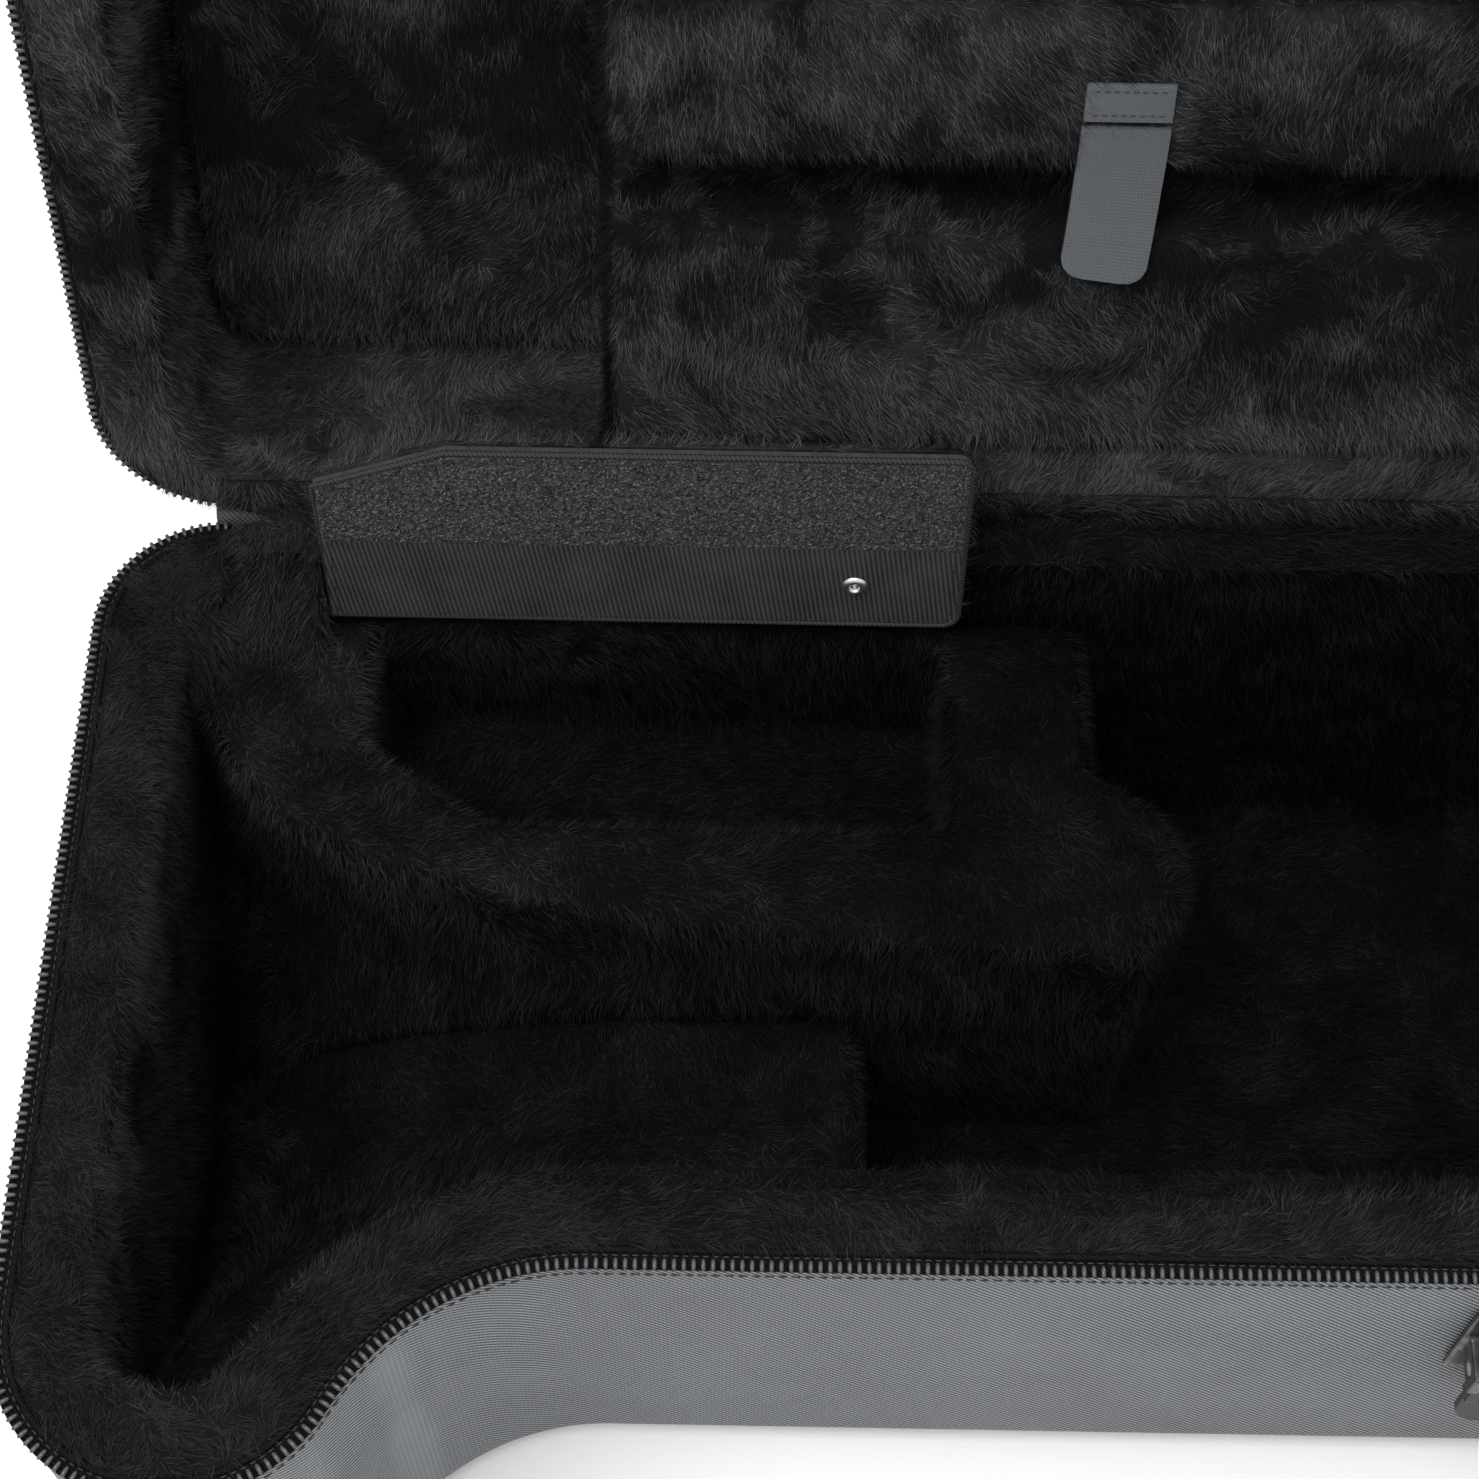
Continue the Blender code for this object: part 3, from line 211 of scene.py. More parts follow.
def painted_lid_shade(shader, level, place, lid_shade, dimples):
    """Painted shade on the pile up the open lid, in its dimples, in its pocket, on its right and along its
    crease.
    """
    x, y, z = place
    high = shader.ramped(z, *LID_SHADE_HEIGHTS)
    low = shader.times_plus(high, -LID_FADE, 1.0)
    dimple = shader.ramped(shader.noise(DIMPLE_SCALE, 3.0, distortion=0.4), *DIMPLE_LEVELS)
    shade = shader.times_plus(dimple, dimples, lid_shade)
    pocket = shader.times(shader.ramped(y, *POCKET_DEEP_Y),
                          shader.ramped(x, CREASE_X + POCKET_EDGE, CREASE_X - POCKET_EDGE))
    right = shader.times(shader.ramped(x, *RIGHT_X), shader.ramped(z, *RIGHT_HEIGHTS))
    aside = shader.times_plus(pocket, POCKET_SHADE, shader.times(right, RIGHT_SHADE))
    shade = shader.times_plus(shade, high, shader.times(aside, low))
    fade = shader.times_plus(shader.ramped(z, *LID_FADE_HEIGHTS), -LID_FADE, 1.0)
    level = shader.minus(level, shader.times(shade, fade))
    far = shader.maths("ABSOLUTE", shader.minus(x, CREASE_X))
    return shader.minus(level, shader.times(shader.ramped(far, CREASE_HALF, 0.0), CREASE_SHADE))


def plush_shader(name, dark, light, hairs=0.0, end_lift=0.0, end_light=0.0, rear_shade=0.0, lid_shade=0.0,
                 dimples=0.0, top_lift=None):
    """Pile that shades in soft patches.

    hairs varies it from blade to blade. end_lift lightens its upper parts with painted light, up to
    end_light, towards the left end of the case, and rear_shade darkens the rear wall elsewhere with painted
    shade.
    lid_shade darkens it with painted shade up the open lid, dimples adds dark dimples of painted shade there,
    and top_lift is the heights between which painted light lightens it.
    """
    shader = Shader(name, grey(light), 0.9, Specular_IOR_Level=0.05)
    patches = shader.noise(PATCH_SCALE, 4.0, distortion=0.8)
    grain = shader.noise(GRAIN_SCALE, 2.0)
    level = shader.plus(shader.times(patches, PATCH_SHARE), shader.times(grain, GRAIN_SHARE))
    x, y, z = place = shader.axes(shader.place)
    if hairs:
        blade = shader.add("ShaderNodeNewGeometry").outputs["Random Per Island"]
        level = shader.plus(level, shader.times(shader.minus(blade, 0.5), hairs))
    if lid_shade:
        level = painted_lid_shade(shader, level, place, lid_shade, dimples)
    stops = [(0.22, grey(dark)), (0.72, grey(light))]
    # painted light towards the left end of the case and between the top_lift heights, and painted shade on
    # the rear wall
    if end_lift:
        end = shader.ramped(x, *END_X)
        lift = shader.times(end, shader.ramped(z, *END_HEIGHTS))
        if top_lift:
            lift = shader.maths("MAXIMUM", lift, shader.ramped(z, *top_lift))
        level = shader.times_plus(lift, end_lift, level)
        back = shader.times(shader.ramped(y, *REAR_WALL_Y), shader.minus(1.0, end))
        level = shader.minus(level, shader.times(back, rear_shade))
        stops.append((1.0, grey(end_light)))
    shader.colour(level, *stops)
    return shader.bump(grain, 0.55, GRAIN_DEPTH).material


# the two ways of the threads on a face that looks along X, along Y and along Z
THREADS = (((0, 1, 1), (0, 1, -1)), ((1, 0, 1), (1, 0, -1)), ((1, 1, 0), (1, -1, 0)))


def woven_shader(name, dark, light, period, roughness=0.6, wear=0.0, depth=0.0004, shine=0.3):
    """A cloth of crossed threads, laid on each face from the side that it looks to."""
    shader = Shader(name, grey(light), roughness, Specular_IOR_Level=shine)
    weave = total = 0.0
    for side, ways in zip(shader.axes(shader.normal), THREADS):
        facing = shader.maths("POWER", shader.maths("ABSOLUTE", side), 6.0)
        under = shader.times_plus(shader.stripes(ways[1], period), 0.45, 0.55)
        crossed = shader.times(shader.stripes(ways[0], period), under)
        weave = shader.times_plus(crossed, facing, weave)
        total = shader.plus(facing, total)
    weave = shader.maths("DIVIDE", weave, total)
    level = shader.times_plus(shader.noise(24.0, 4.0), 0.35 + wear, weave)
    shader.colour(level, (0.16, grey(dark)), (0.82, grey(light)))
    return shader.bump(weave, 0.7, depth).material


def speckled(name, colour, roughness, metallic=0.0, specks=None, relief=None, **sockets):
    """A material with specks (scale, detail and two stops) and a relief (scale, strength and depth)."""
    shader = Shader(name, colour, roughness, metallic, **sockets)
    if specks:
        scale, detail, *stops = specks
        shader.colour(shader.noise(scale, detail), *stops)
    if relief:
        scale, strength, depth = relief
        shader.bump(shader.noise(scale), strength, depth)
    return shader.material


# one black plush in three copies: the base's is darkened as painted shade inside the box, the rim's is
# lighter as painted light on the rim's top, and the lid's, also on the flap, is lighter still as painted
# light on the open lid
BASE_ROOT = plush_shader("plush_root_of_base", 0.0006, 0.0038, 0.0, 0.26, 0.0130, 0.20)
BASE_PILE = plush_shader("plush_pile_of_base", 0.0010, 0.0165, 0.45, 0.26, 0.0420, 0.20)
RIM_ROOT = plush_shader("plush_root_of_rim", 0.0020, 0.0100)
RIM_PILE = plush_shader("plush_pile_of_rim", 0.0050, 0.0345, 0.45)
LID_ROOT = plush_shader("plush_root_of_lid", 0.0060, 0.0380, lid_shade=0.24, dimples=0.40)
LID_PILE = plush_shader("plush_pile_of_lid", 0.0090, 0.0980, 0.40, lid_shade=0.24, dimples=0.40)
FOAM = Shader("foam_beads", (0.80, 0.80, 0.78), 0.8)
FOAM.bump(FOAM.cells(260.0), 0.5, 0.0008)
FOAM = FOAM.colour(FOAM.noise(90.0), (0.3, (0.72, 0.72, 0.70)), (0.7, (0.86, 0.86, 0.84))).material


# Meshes
def put(mesh, material, smooth=True):
    """A finished mesh as a piece of the scene, under the mesh's name."""
    mesh.polygons.foreach_set("use_smooth", [smooth] * len(mesh.polygons))
    mesh.materials.append(material)
    piece = bpy.data.objects.new(mesh.name, mesh)
    bpy.context.scene.collection.objects.link(piece)
    return piece


def new_object(name, points, faces, material, smooth=True):
    mesh = bpy.data.meshes.new(name)
    mesh.from_pydata([tuple(p) for p in points], [], faces)
    mesh.update()
    return put(mesh, material, smooth)


def piece_from(bm, name, material, smooth=True):
    mesh = bpy.data.meshes.new(name)
    bm.to_mesh(mesh)
    bm.free()
    return put(mesh, material, smooth)


def quads(rows, columns, ring=True, closed=False):
    """Faces between rows of points: ring joins each row's ends, closed joins the last row to the first."""
    return [(k * columns + j, k * columns + (j + 1) % columns,
             (k + 1) % rows * columns + (j + 1) % columns, (k + 1) % rows * columns + j)
            for k in range(rows if closed else rows - 1) for j in range(columns if ring else columns - 1)]


def bar_faces(rows, columns):
    """Faces between rings of points, with the first and the last ring closed."""
    caps = [tuple(reversed(range(columns))), tuple(range((rows - 1) * columns, rows * columns))]
    return quads(rows, columns) + caps


def sheet_faces(rows, columns):
    """Faces of a closed sheet, its upper points before its lower ones, from rows of cells."""
    wide, total = columns + 1, (rows + 1) * (columns + 1)
    faces = []
    for row in range(rows):
        for a in range(row * wide, row * wide + columns):
            faces += [(a, a + 1, a + wide + 1, a + wide),
                      (total + a, total + a + wide, total + a + wide + 1, total + a + 1)]
        for a in (row * wide, row * wide + columns):
            faces.append((a, a + wide, total + a + wide, total + a))
    for start in (0, rows * wide):
        faces += [(a, a + 1, total + a + 1, total + a) for a in range(start, start + columns)]
    return faces


def frame_at(carry, origin, first, second, up=UP):
    """The carried origin and axes of one small copy."""
    a, b, c, d = carry([origin, origin + first, origin + second, origin + up])
    return tuple(a), [tuple(b - a), tuple(c - a), tuple(d - a)]


def settle(piece, body, slot, *replaced):
    """Hands a finished piece to its body, and hides the CAD nodes that it replaces. slot is not used."""
    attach(piece, body)
    if replaced:
        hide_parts(*replaced)
    return piece


def triangles(source):
    """Corner points of a CAD node's triangles, as an array of n by 3 by 3."""
    mesh = source.data
    mesh.calc_loop_triangles()
    points = np.empty(len(mesh.vertices) * 3)
    mesh.vertices.foreach_get("co", points)
    index = np.empty(len(mesh.loop_triangles) * 3, dtype=int)
    mesh.loop_triangles.foreach_get("vertices", index)
    return points.reshape(-1, 3)[index].reshape(-1, 3, 3)


def tree_of(names):
    points, faces = [], []
    for name in names:
        corners = triangles(NODES[name]).reshape(-1, 3)
        faces += [(k, k + 1, k + 2) for k in range(len(points), len(points) + len(corners), 3)]
        points += [tuple(p) for p in corners]
    return BVHTree.FromPolygons(points, faces)


def fine_copy(name, step):
    """A bmesh of a CAD node with no edge much longer than step."""
    bm = bmesh.new()
    bm.from_mesh(NODES[name].data)
    bmesh.ops.remove_doubles(bm, verts=bm.verts, dist=0.00005)
    bmesh.ops.triangulate(bm, faces=bm.faces)
    for _ in range(10):
        long_edges = [e for e in bm.edges if e.calc_length() > 1.45 * step]
        if not long_edges:
            break
        bmesh.ops.subdivide_edges(bm, edges=long_edges, cuts=1)
        bmesh.ops.triangulate(bm, faces=[f for f in bm.faces if len(f.verts) > 3])
    bm.normal_update()
    return bm


# Plush
PLUSH_STEP = 0.0088
OPEN_REACH = 0.004
ROOT_LIFT = 0.0004
SWELL = 0.0007
SWELL_SCALE = 38.0
PILE = 0.0050
BLADE_WIDTH = 0.00025
CLUMP = 170.0
LIE_SCALE = 32.0
FAR_SHARE = 0.22
FAR_WIDTH = 2.0
VIEW_BOX = ((-0.50, -0.15, -0.05), (0.0, 0.40, 0.46))
# a blade's share of the face's normal with its waves, of the comb, of chance and of twist, then its length
# as a share of the pile and how far its tip bends over
BLADE_RISE, BLADE_LEAN, BLADE_CHANCE, BLADE_TWIST = (0.80, 0.35), 0.70, 0.34, 0.5
BLADE_LENGTHS, BLADE_BEND = (0.65, 1.12), 0.25
# how much the way that the pile lies wavers, over wide patches and over single clumps
LIE_WAVER, CLUMP_WAVER = 0.85, 0.60
rng = np.random.default_rng(20)


def softened(name, voxel, rounds):
    """A bmesh of a CAD node with its edges rounded off, in triangles."""
    piece = bpy.data.objects.new(name + "_soft", NODES[name].data.copy())
    bpy.context.scene.collection.objects.link(piece)
    remesh = piece.modifiers.new("remesh", "REMESH")
    remesh.mode = "VOXEL"
    remesh.voxel_size = voxel
    smooth = piece.modifiers.new("smooth", "SMOOTH")
    smooth.factor = 0.5
    smooth.iterations = rounds
    graph = bpy.context.evaluated_depsgraph_get()
    bm = bmesh.new()
    bm.from_mesh(piece.evaluated_get(graph).to_mesh())
    bpy.data.objects.remove(piece)
    bmesh.ops.triangulate(bm, faces=bm.faces)
    bm.normal_update()
    return bm


def open_faces(bm, others):
    """Faces that look into the open, not at a neighbour that they lie against."""
    shown = set()
    for face in bm.faces:
        start = face.calc_center_median() + face.normal * ROOT_LIFT
        if others.ray_cast(start, face.normal, OPEN_REACH)[0] is None:
            shown.add(face.index)
    return shown


def swell(bm, shown, amount):
    """Soft hollows and rises on the faces in the open."""
    for vert in bm.verts:
        if vert.link_faces and all(face.index in shown for face in vert.link_faces):
            rise = noise.noise(vert.co * SWELL_SCALE) + 0.5 * noise.noise(vert.co * SWELL_SCALE * 2.7)
            vert.co += vert.normal * (amount * rise)


def blades(name, faces, comb, density, material):
    """Fur as a mesh: one thin blade per hair, bent to the way the pile lies."""
    corners = np.array([[tuple(v.co) for v in face.verts] for face in faces])
    cross = np.cross(corners[:, 1] - corners[:, 0], corners[:, 2] - corners[:, 0])
    area = np.linalg.norm(cross, axis=1) / 2
    normals = cross / (2 * area[:, None] + 1e-15)
    low, high = (np.array(side) for side in VIEW_BOX)
    middle = corners.mean(axis=1)
    seen = np.all((middle > low) & (middle < high), axis=1)
    weight = area * np.where(seen, 1.0, FAR_SHARE)
    count = int(weight.sum() * density)
    pick = rng.choice(len(faces), count, p=weight / weight.sum())
    share = np.sqrt(rng.random((count, 1)))
    other = rng.random((count, 1))
    a, b, c = corners[pick, 0], corners[pick, 1], corners[pick, 2]
    root = a * (1 - share) + b * share * (1 - other) + c * share * other
    normal = normals[pick]
    lean = comb_field(root, comb)
    lean -= normal * np.sum(lean * normal, axis=1, keepdims=True)
    lean /= np.linalg.norm(lean, axis=1, keepdims=True) + 1e-9
    wild = rng.normal(0.0, BLADE_CHANCE, (count, 3))
    rise = BLADE_RISE[0] + BLADE_RISE[1] * waves(root, CLUMP, 61)[:, None]
    along = normal * rise + lean * BLADE_LEAN + wild
    along /= np.linalg.norm(along, axis=1, keepdims=True)
    wide = np.where(seen[pick], 1.0, FAR_WIDTH)[:, None]
    length = PILE * rng.uniform(*BLADE_LENGTHS, (count, 1))
    side = np.cross(along, normal + rng.normal(0.0, BLADE_TWIST, (count, 3)))
    side /= np.linalg.norm(side, axis=1, keepdims=True) + 1e-9
    half = side * BLADE_WIDTH / 2 * wide
    tip = root + along * length + lean * length * BLADE_BEND
    points = np.stack([root - half, root + half, tip], axis=1)
    parts = max(1, math.ceil(count / MOST_FACES))
    order = np.argsort(root[:, 0])
    made = []
    for number, chosen in enumerate(np.array_split(order, parts), start=1):
        label = name if parts == 1 else name + "_" + str(number)
        mesh = bpy.data.meshes.new(label)
        index = np.arange(len(chosen) * 3)
        mesh.vertices.add(len(index))
        mesh.vertices.foreach_set("co", points[chosen].ravel())
        mesh.loops.add(len(index))
        mesh.loops.foreach_set("vertex_index", index)
        mesh.polygons.add(len(chosen))
        mesh.polygons.foreach_set("loop_start", index[::3])
        mesh.update(calc_edges=True)
        mesh.materials.append(material)
        made.append(bpy.data.objects.new(label, mesh))
        bpy.context.scene.collection.objects.link(made[-1])
    print(name, count, "blades")
    return made


def waves(points, scale, seed):
    """A smooth field between about -1 and 1, cheap for many points at once."""
    mix = np.random.default_rng(seed)
    total = np.zeros(len(points))
    for _ in range(6):
        way = mix.normal(0.0, 1.0, 3) * scale
        total += np.sin(points @ way + mix.uniform(0.0, 2 * math.pi))
    return total / 3.2


def comb_field(points, comb):
    """The way that the pile lies at each point."""
    lie = np.tile(np.array(comb, dtype=float), (len(points), 1))
    for axis in range(3):
        lie[:, axis] += LIE_WAVER * waves(points, LIE_SCALE, 11 + axis)
        lie[:, axis] += CLUMP_WAVER * waves(points, CLUMP, 21 + axis)
    return lie


# name of the CAD node: its body, the way the pile lies, and the materials of the ground and the pile
PLUSH_PARTS = {
    "base_lining": ("base", (0.2, -0.3, -1.0), BASE_ROOT, BASE_PILE),
    "accessory_tray": ("base", (0.5, -0.6, -0.5), BASE_ROOT, BASE_PILE),
    "bell_cradle": ("base", (0.7, -0.2, -0.5), BASE_ROOT, BASE_PILE),
    "neck_rest": ("base", (0.3, -0.5, -0.5), BASE_ROOT, BASE_PILE),
    "bow_block": ("base", (0.3, -0.5, -0.5), BASE_ROOT, BASE_PILE),
    "flap_hinge_strip": ("base", (0.3, 0.3, -0.6), BASE_ROOT, BASE_PILE),
    "lid_lining": ("lid", (0.5, 0.2, -0.9), LID_ROOT, LID_PILE),
    "slide_block": ("lid", (0.5, 0.1, -0.9), LID_ROOT, LID_PILE),
    "bell_pad": ("lid", (0.6, 0.1, -0.8), LID_ROOT, LID_PILE),
    "flap_plush": ("flap", (0.3, 0.2, 0.6), LID_ROOT, LID_PILE),
}
PADDED = ("accessory_tray", "bell_cradle", "neck_rest", "bow_block", "slide_block", "bell_pad")
DENSITY = 1.15e6
MOST_FACES = 190000
BLOCK_VOXEL = 0.0034
BLOCK_ROUNDS = 9


def make_plush(name, body, comb, root, material):
    others = tree_of([other for other in NODES if other != name])
    is_block = name in PADDED
    bm = softened(name, BLOCK_VOXEL, BLOCK_ROUNDS) if is_block else fine_copy(name, PLUSH_STEP)
    shown = open_faces(bm, others)
    swell(bm, shown, SWELL)
    bm.normal_update()
    fur_faces = [face for face in bm.faces if face.index in shown]
    fur = blades("fur_of_" + name, fur_faces, comb, DENSITY, material)
    backing = settle(piece_from(bm, "plush_" + name, root), body, "plush", name)
    for tuft in fur:
        settle(tuft, body, "plush")


for plush_name, plush_facts in PLUSH_PARTS.items():
    make_plush(plush_name, *plush_facts)


# Outline of the case
REAR_RADIUS = 0.037
FRONT_RADIUS = 0.048
END_RADIUS = 0.042
FRONT_STEP = 0.064
NOSE_RADIUS = 0.045
HOLLOW_RADIUS = 0.076
FRONT_FLAT = 0.0018
FRONT_Y = -REAR_Y
NECK_Y = FRONT_Y + FRONT_STEP
STEP_ANGLE = math.acos(1 - FRONT_STEP / (NOSE_RADIUS + HOLLOW_RADIUS))
NOSE_X = -HALF_LENGTH + FRONT_RADIUS + FRONT_FLAT
NECK_X = NOSE_X + (NOSE_RADIUS + HOLLOW_RADIUS) * math.sin(STEP_ANGLE)
ARC_PIECES = 40


def arc(centre, radius, start, end, pieces=ARC_PIECES):
    angles = (start + (end - start) * k / pieces for k in range(pieces + 1))
    return [(centre[0] + radius * math.cos(angle), centre[1] + radius * math.sin(angle)) for angle in angles]


# the signs of the four corners of a rounded frame, anticlockwise
FOUR_CORNERS = ((1, 1), (-1, 1), (-1, -1), (1, -1))


def rim_line(margin):
    """The outline from above, drawn in by a margin, from the rear left corner round the front."""
    quarter = math.pi / 2
    front = 3 * quarter
    left, right = -HALF_LENGTH, HALF_LENGTH
    line = arc((left + REAR_RADIUS, REAR_Y - REAR_RADIUS), REAR_RADIUS - margin, quarter, 2 * quarter)
    line += arc((left + FRONT_RADIUS, FRONT_Y + FRONT_RADIUS), FRONT_RADIUS - margin, 2 * quarter, front)
    line += arc((NOSE_X, FRONT_Y + NOSE_RADIUS), NOSE_RADIUS - margin, front, front + STEP_ANGLE)
    line += arc((NECK_X, NECK_Y - HOLLOW_RADIUS), HOLLOW_RADIUS + margin, quarter + STEP_ANGLE, quarter)[1:]
    line += arc((right - END_RADIUS, NECK_Y + END_RADIUS), END_RADIUS - margin, front, 4 * quarter)
    return line + arc((right - REAR_RADIUS, REAR_Y - REAR_RADIUS), REAR_RADIUS - margin, 0.0, quarter)


def spaced(line, pitch):
    """Places and directions along a polyline, evenly apart."""
    points = np.array(line)
    steps = np.linalg.norm(np.diff(points, axis=0), axis=1)
    keep = np.concatenate([[True], steps > 1e-7])
    points, far = points[keep], np.concatenate([[0.0], np.cumsum(steps[steps > 1e-7])])
    count = int(far[-1] / pitch)
    at = (np.arange(count) + 0.5) * far[-1] / count

    def read(at):
        return np.stack([np.interp(at, far, column) for column in points.T], axis=1)

    way = read(at + 1e-4) - read(at - 1e-4)
    return read(at), way / np.linalg.norm(way, axis=1, keepdims=True)


def strew(name, size, frames, material, body, slot, *replaced):
    """Small rounded bars of one size, one for each frame of origin and three axes."""
    shape, faces = capsule(*size)
    points = np.concatenate([origin + np.array(shape) @ np.array(axes) for origin, axes in frames])
    index = [tuple(k * len(shape) + corner for corner in face) for k in range(len(frames)) for face in faces]
    settle(new_object(name, points, index, material), body, slot, *replaced)


def lid_frame(points):
    """Points drawn on the base's rim, mirrored across it and carried to the open lid."""
    return [TO_LID @ Vector((p[0], p[1], 2 * RIM_Z - p[2])) for p in points]


# Zip
TOOTH_PITCH = 0.0026


def tube(name, line, radius, sides, material, closed=False, flat=1.0, normal=UP):
    """A round cord along a line of points, flattened along the normal."""
    points = [Vector(p) for p in line]
    rings, count = [], len(points)
    for k, point in enumerate(points):
        ahead = points[(k + 1) % count] if closed or k + 1 < count else point
        behind = points[k - 1] if closed or k else point
        way = (ahead - behind).normalized()
        across = way.cross(normal).normalized()
        up = across.cross(way)
        for j in range(sides):
            angle = 2 * math.pi * j / sides
            rings.append(point + (across * math.cos(angle) + up * (flat * math.sin(angle))) * radius)
    faces = quads(count, sides, True, True) if closed else bar_faces(count, sides)
    return tidy_faces(new_object(name, rings, faces, material))


def tidy_faces(piece):
    """Turns the faces of a made piece outwards."""
    bm = bmesh.new()
    bm.from_mesh(piece.data)
    bmesh.ops.recalc_face_normals(bm, faces=bm.faces)
    bm.to_mesh(piece.data)
    bm.free()
    return piece


def ribbon(name, outer, inner, low, high, material, carry):
    """A flat strip between two outlines, lying level with the rim."""
    rings = []
    for a, b in zip(outer, inner):
        rings += [(*a, low), (*b, low), (*b, high), (*a, high)]
    faces = bar_faces(len(outer), 4)
    return tidy_faces(new_object(name, carry(rings), faces, material, False))


def capsule(length, width, height, sides=8, rings=4):
    """A rounded bar along its X axis, centred on the origin: its points and faces."""
    points = []
    for k in range(rings + 1):
        angle = math.pi * k / rings
        thin = max(math.sin(angle) ** 0.5, 0.18)
        for j in range(sides):
            turn = 2 * math.pi * j / sides
            points.append((-math.cos(angle) * length / 2, math.cos(turn) * thin * width / 2,
                           math.sin(turn) * thin * height / 2))
    return points, bar_faces(rings + 1, sides)


def rim_frames(margin, height, pitch, across, carry):
    """Frames for small pieces along the rim; their X axis lies across the rim, or along it."""
    places, ways = spaced(rim_line(margin), pitch)
    frames = []
    for place, way in zip(places, ways):
        along = Vector((way[0], way[1], 0.0))
        side = Vector((way[1], -way[0], 0.0))
        first, second = (side, along) if across else (along, side)
        frames.append(frame_at(carry, Vector((place[0], place[1], height)), first, second))
    return frames


def same(points):
    """Points of the base and of small parts, which stay where they are drawn."""
    return [Vector(p) for p in points]


FIBRES = (2500.0, 0.3, 0.0001)
TAPE = woven_shader("zip_tape", 0.0010, 0.0055, 0.0011, 0.8, shine=0.08)
COIL = speckled("zip_coil", (0.046, 0.049, 0.051), 0.32, relief=(900.0, 0.15, 0.0002),
                Specular_IOR_Level=0.55)
THREAD = speckled("thread", (0.020, 0.022, 0.023), 0.6, relief=FIBRES)
PIPING = woven_shader("piping_cloth", 0.0012, 0.0080, 0.0009, 0.8, shine=0.10)


SHARP_ANGLE = math.radians(50.0)


def crisp(piece):
    """Keeps the shading sharp across edges that turn by more than an angle."""
    piece.data.set_sharp_from_angle(angle=SHARP_ANGLE)
    return piece


def fur_on(piece, comb, density, material, way, least):
    """Fur on the faces of a made piece that look along a way by more than the least."""
    bm = bmesh.new()
    bm.from_mesh(piece.data)
    bmesh.ops.triangulate(bm, faces=bm.faces)
    faces = [face for face in bm.faces if face.normal.dot(way) > least]
    made = blades("fur_of_" + piece.name, faces, comb, density, material)
    bm.free()
    return made


def along_rim(name, section, material, carry):
    """A closed bar along the rim, its section given as margins and heights."""
    lines = [rim_line(margin) for margin, _ in section]
    count = len(section)
    rings = [(*lines[j][k], section[j][1]) for k in range(len(lines[0])) for j in range(count)]
    faces = bar_faces(len(lines[0]), count)
    return tidy_faces(new_object(name, carry(rings), faces, material))


# margin from the outline at which the plush starts, for the base and for the lid
PLUSH_MARGIN = {"base": 0.0050, "lid": 0.0024}
PIPING_MARGIN = {"base": 0.0043, "lid": 0.0020}
# everything on the rim is placed by its margin from the outline and its depth under the rim
TAPE_MARGINS, TAPE_DEPTHS = (-0.0008, 0.0062), (0.0029, 0.0021)
TOOTH_SIZE, TOOTH_MARGIN, TOOTH_DEPTH = (0.0033, 0.0014, 0.0015), 0.0004, 0.0011
TAPE_STITCH = (0.0019, 0.0005, 0.0004, 6, 3)
TAPE_STITCH_MARGIN, TAPE_STITCH_DEPTH, TAPE_STITCH_PITCH = 0.0029, 0.0019, 0.0027
PIPING_RADIUS, PIPING_DEPTH = 0.0008, 0.0013
RIM_LOW, RIM_TOP = RIM_Z - 0.0019, RIM_Z - 0.0003
# the outer side of the roll of plush, from where the plush starts, and its inner side on base and lid
ROLL_START = ((0.0, RIM_LOW), (0.0002, RIM_LOW + 0.0007), (0.0012, RIM_TOP - 0.0002), (0.0030, RIM_TOP))
ROLL_END = {
    "base": [(0.0190, RIM_TOP + 0.0002), (0.0215, RIM_TOP - 0.0002), (0.0233, RIM_TOP - 0.0015),
             (0.0243, RIM_TOP - 0.0040), (0.0243, RIM_TOP - 0.0080), (0.0228, RIM_TOP - 0.0080),
             (0.0220, RIM_LOW)],
    "lid": [(0.0110, RIM_TOP), (0.0125, RIM_TOP - 0.0004), (0.0128, RIM_LOW + 0.0006), (0.0128, RIM_LOW)],
}
ROLL_COMB, ROLL_DENSITY, ROLL_LEAST = (0.5, -0.4, -0.1), 1.5, -0.3


def rim_zip(body, carry):
    """The zip's tape, its teeth, the stitches through the tape and the piping beside it."""
    low, high = (RIM_Z - depth for depth in TAPE_DEPTHS)
    outer, inner = (rim_line(margin) for margin in TAPE_MARGINS)
    tape = ribbon(body + "_tape_ribbon", outer, inner, low, high, TAPE, carry)
    settle(tape, body, "tape", body + "_zip_tape")
    frames = rim_frames(TOOTH_MARGIN, RIM_Z - TOOTH_DEPTH, TOOTH_PITCH, True, carry)
    strew(body + "_zip_teeth", TOOTH_SIZE, frames, COIL, body, "coil", body + "_zip_coil")
    frames = rim_frames(TAPE_STITCH_MARGIN, RIM_Z - TAPE_STITCH_DEPTH, TAPE_STITCH_PITCH, False, carry)
    strew(body + "_zip_stitches", TAPE_STITCH, frames, THREAD, body, "tape")
    line = carry([(x, y, RIM_Z - PIPING_DEPTH) for x, y in rim_line(PIPING_MARGIN[body])])
    settle(tube(body + "_rim_piping", line, PIPING_RADIUS, 8, PIPING), body, "piping", body + "_piping")


def rim_roll(body, carry, root, pile, out):
    """The roll of plush along the rim, and its pile on the sides that look out."""
    start = PLUSH_MARGIN[body]
    section = [(start + margin, height) for margin, height in ROLL_START] + ROLL_END[body]
    roll = along_rim(body + "_rim_plush", section, root, carry)
    for tuft in fur_on(roll, ROLL_COMB, DENSITY * ROLL_DENSITY, pile, out, ROLL_LEAST):
        settle(tuft, body, "plush")
    settle(roll, body, "plush")


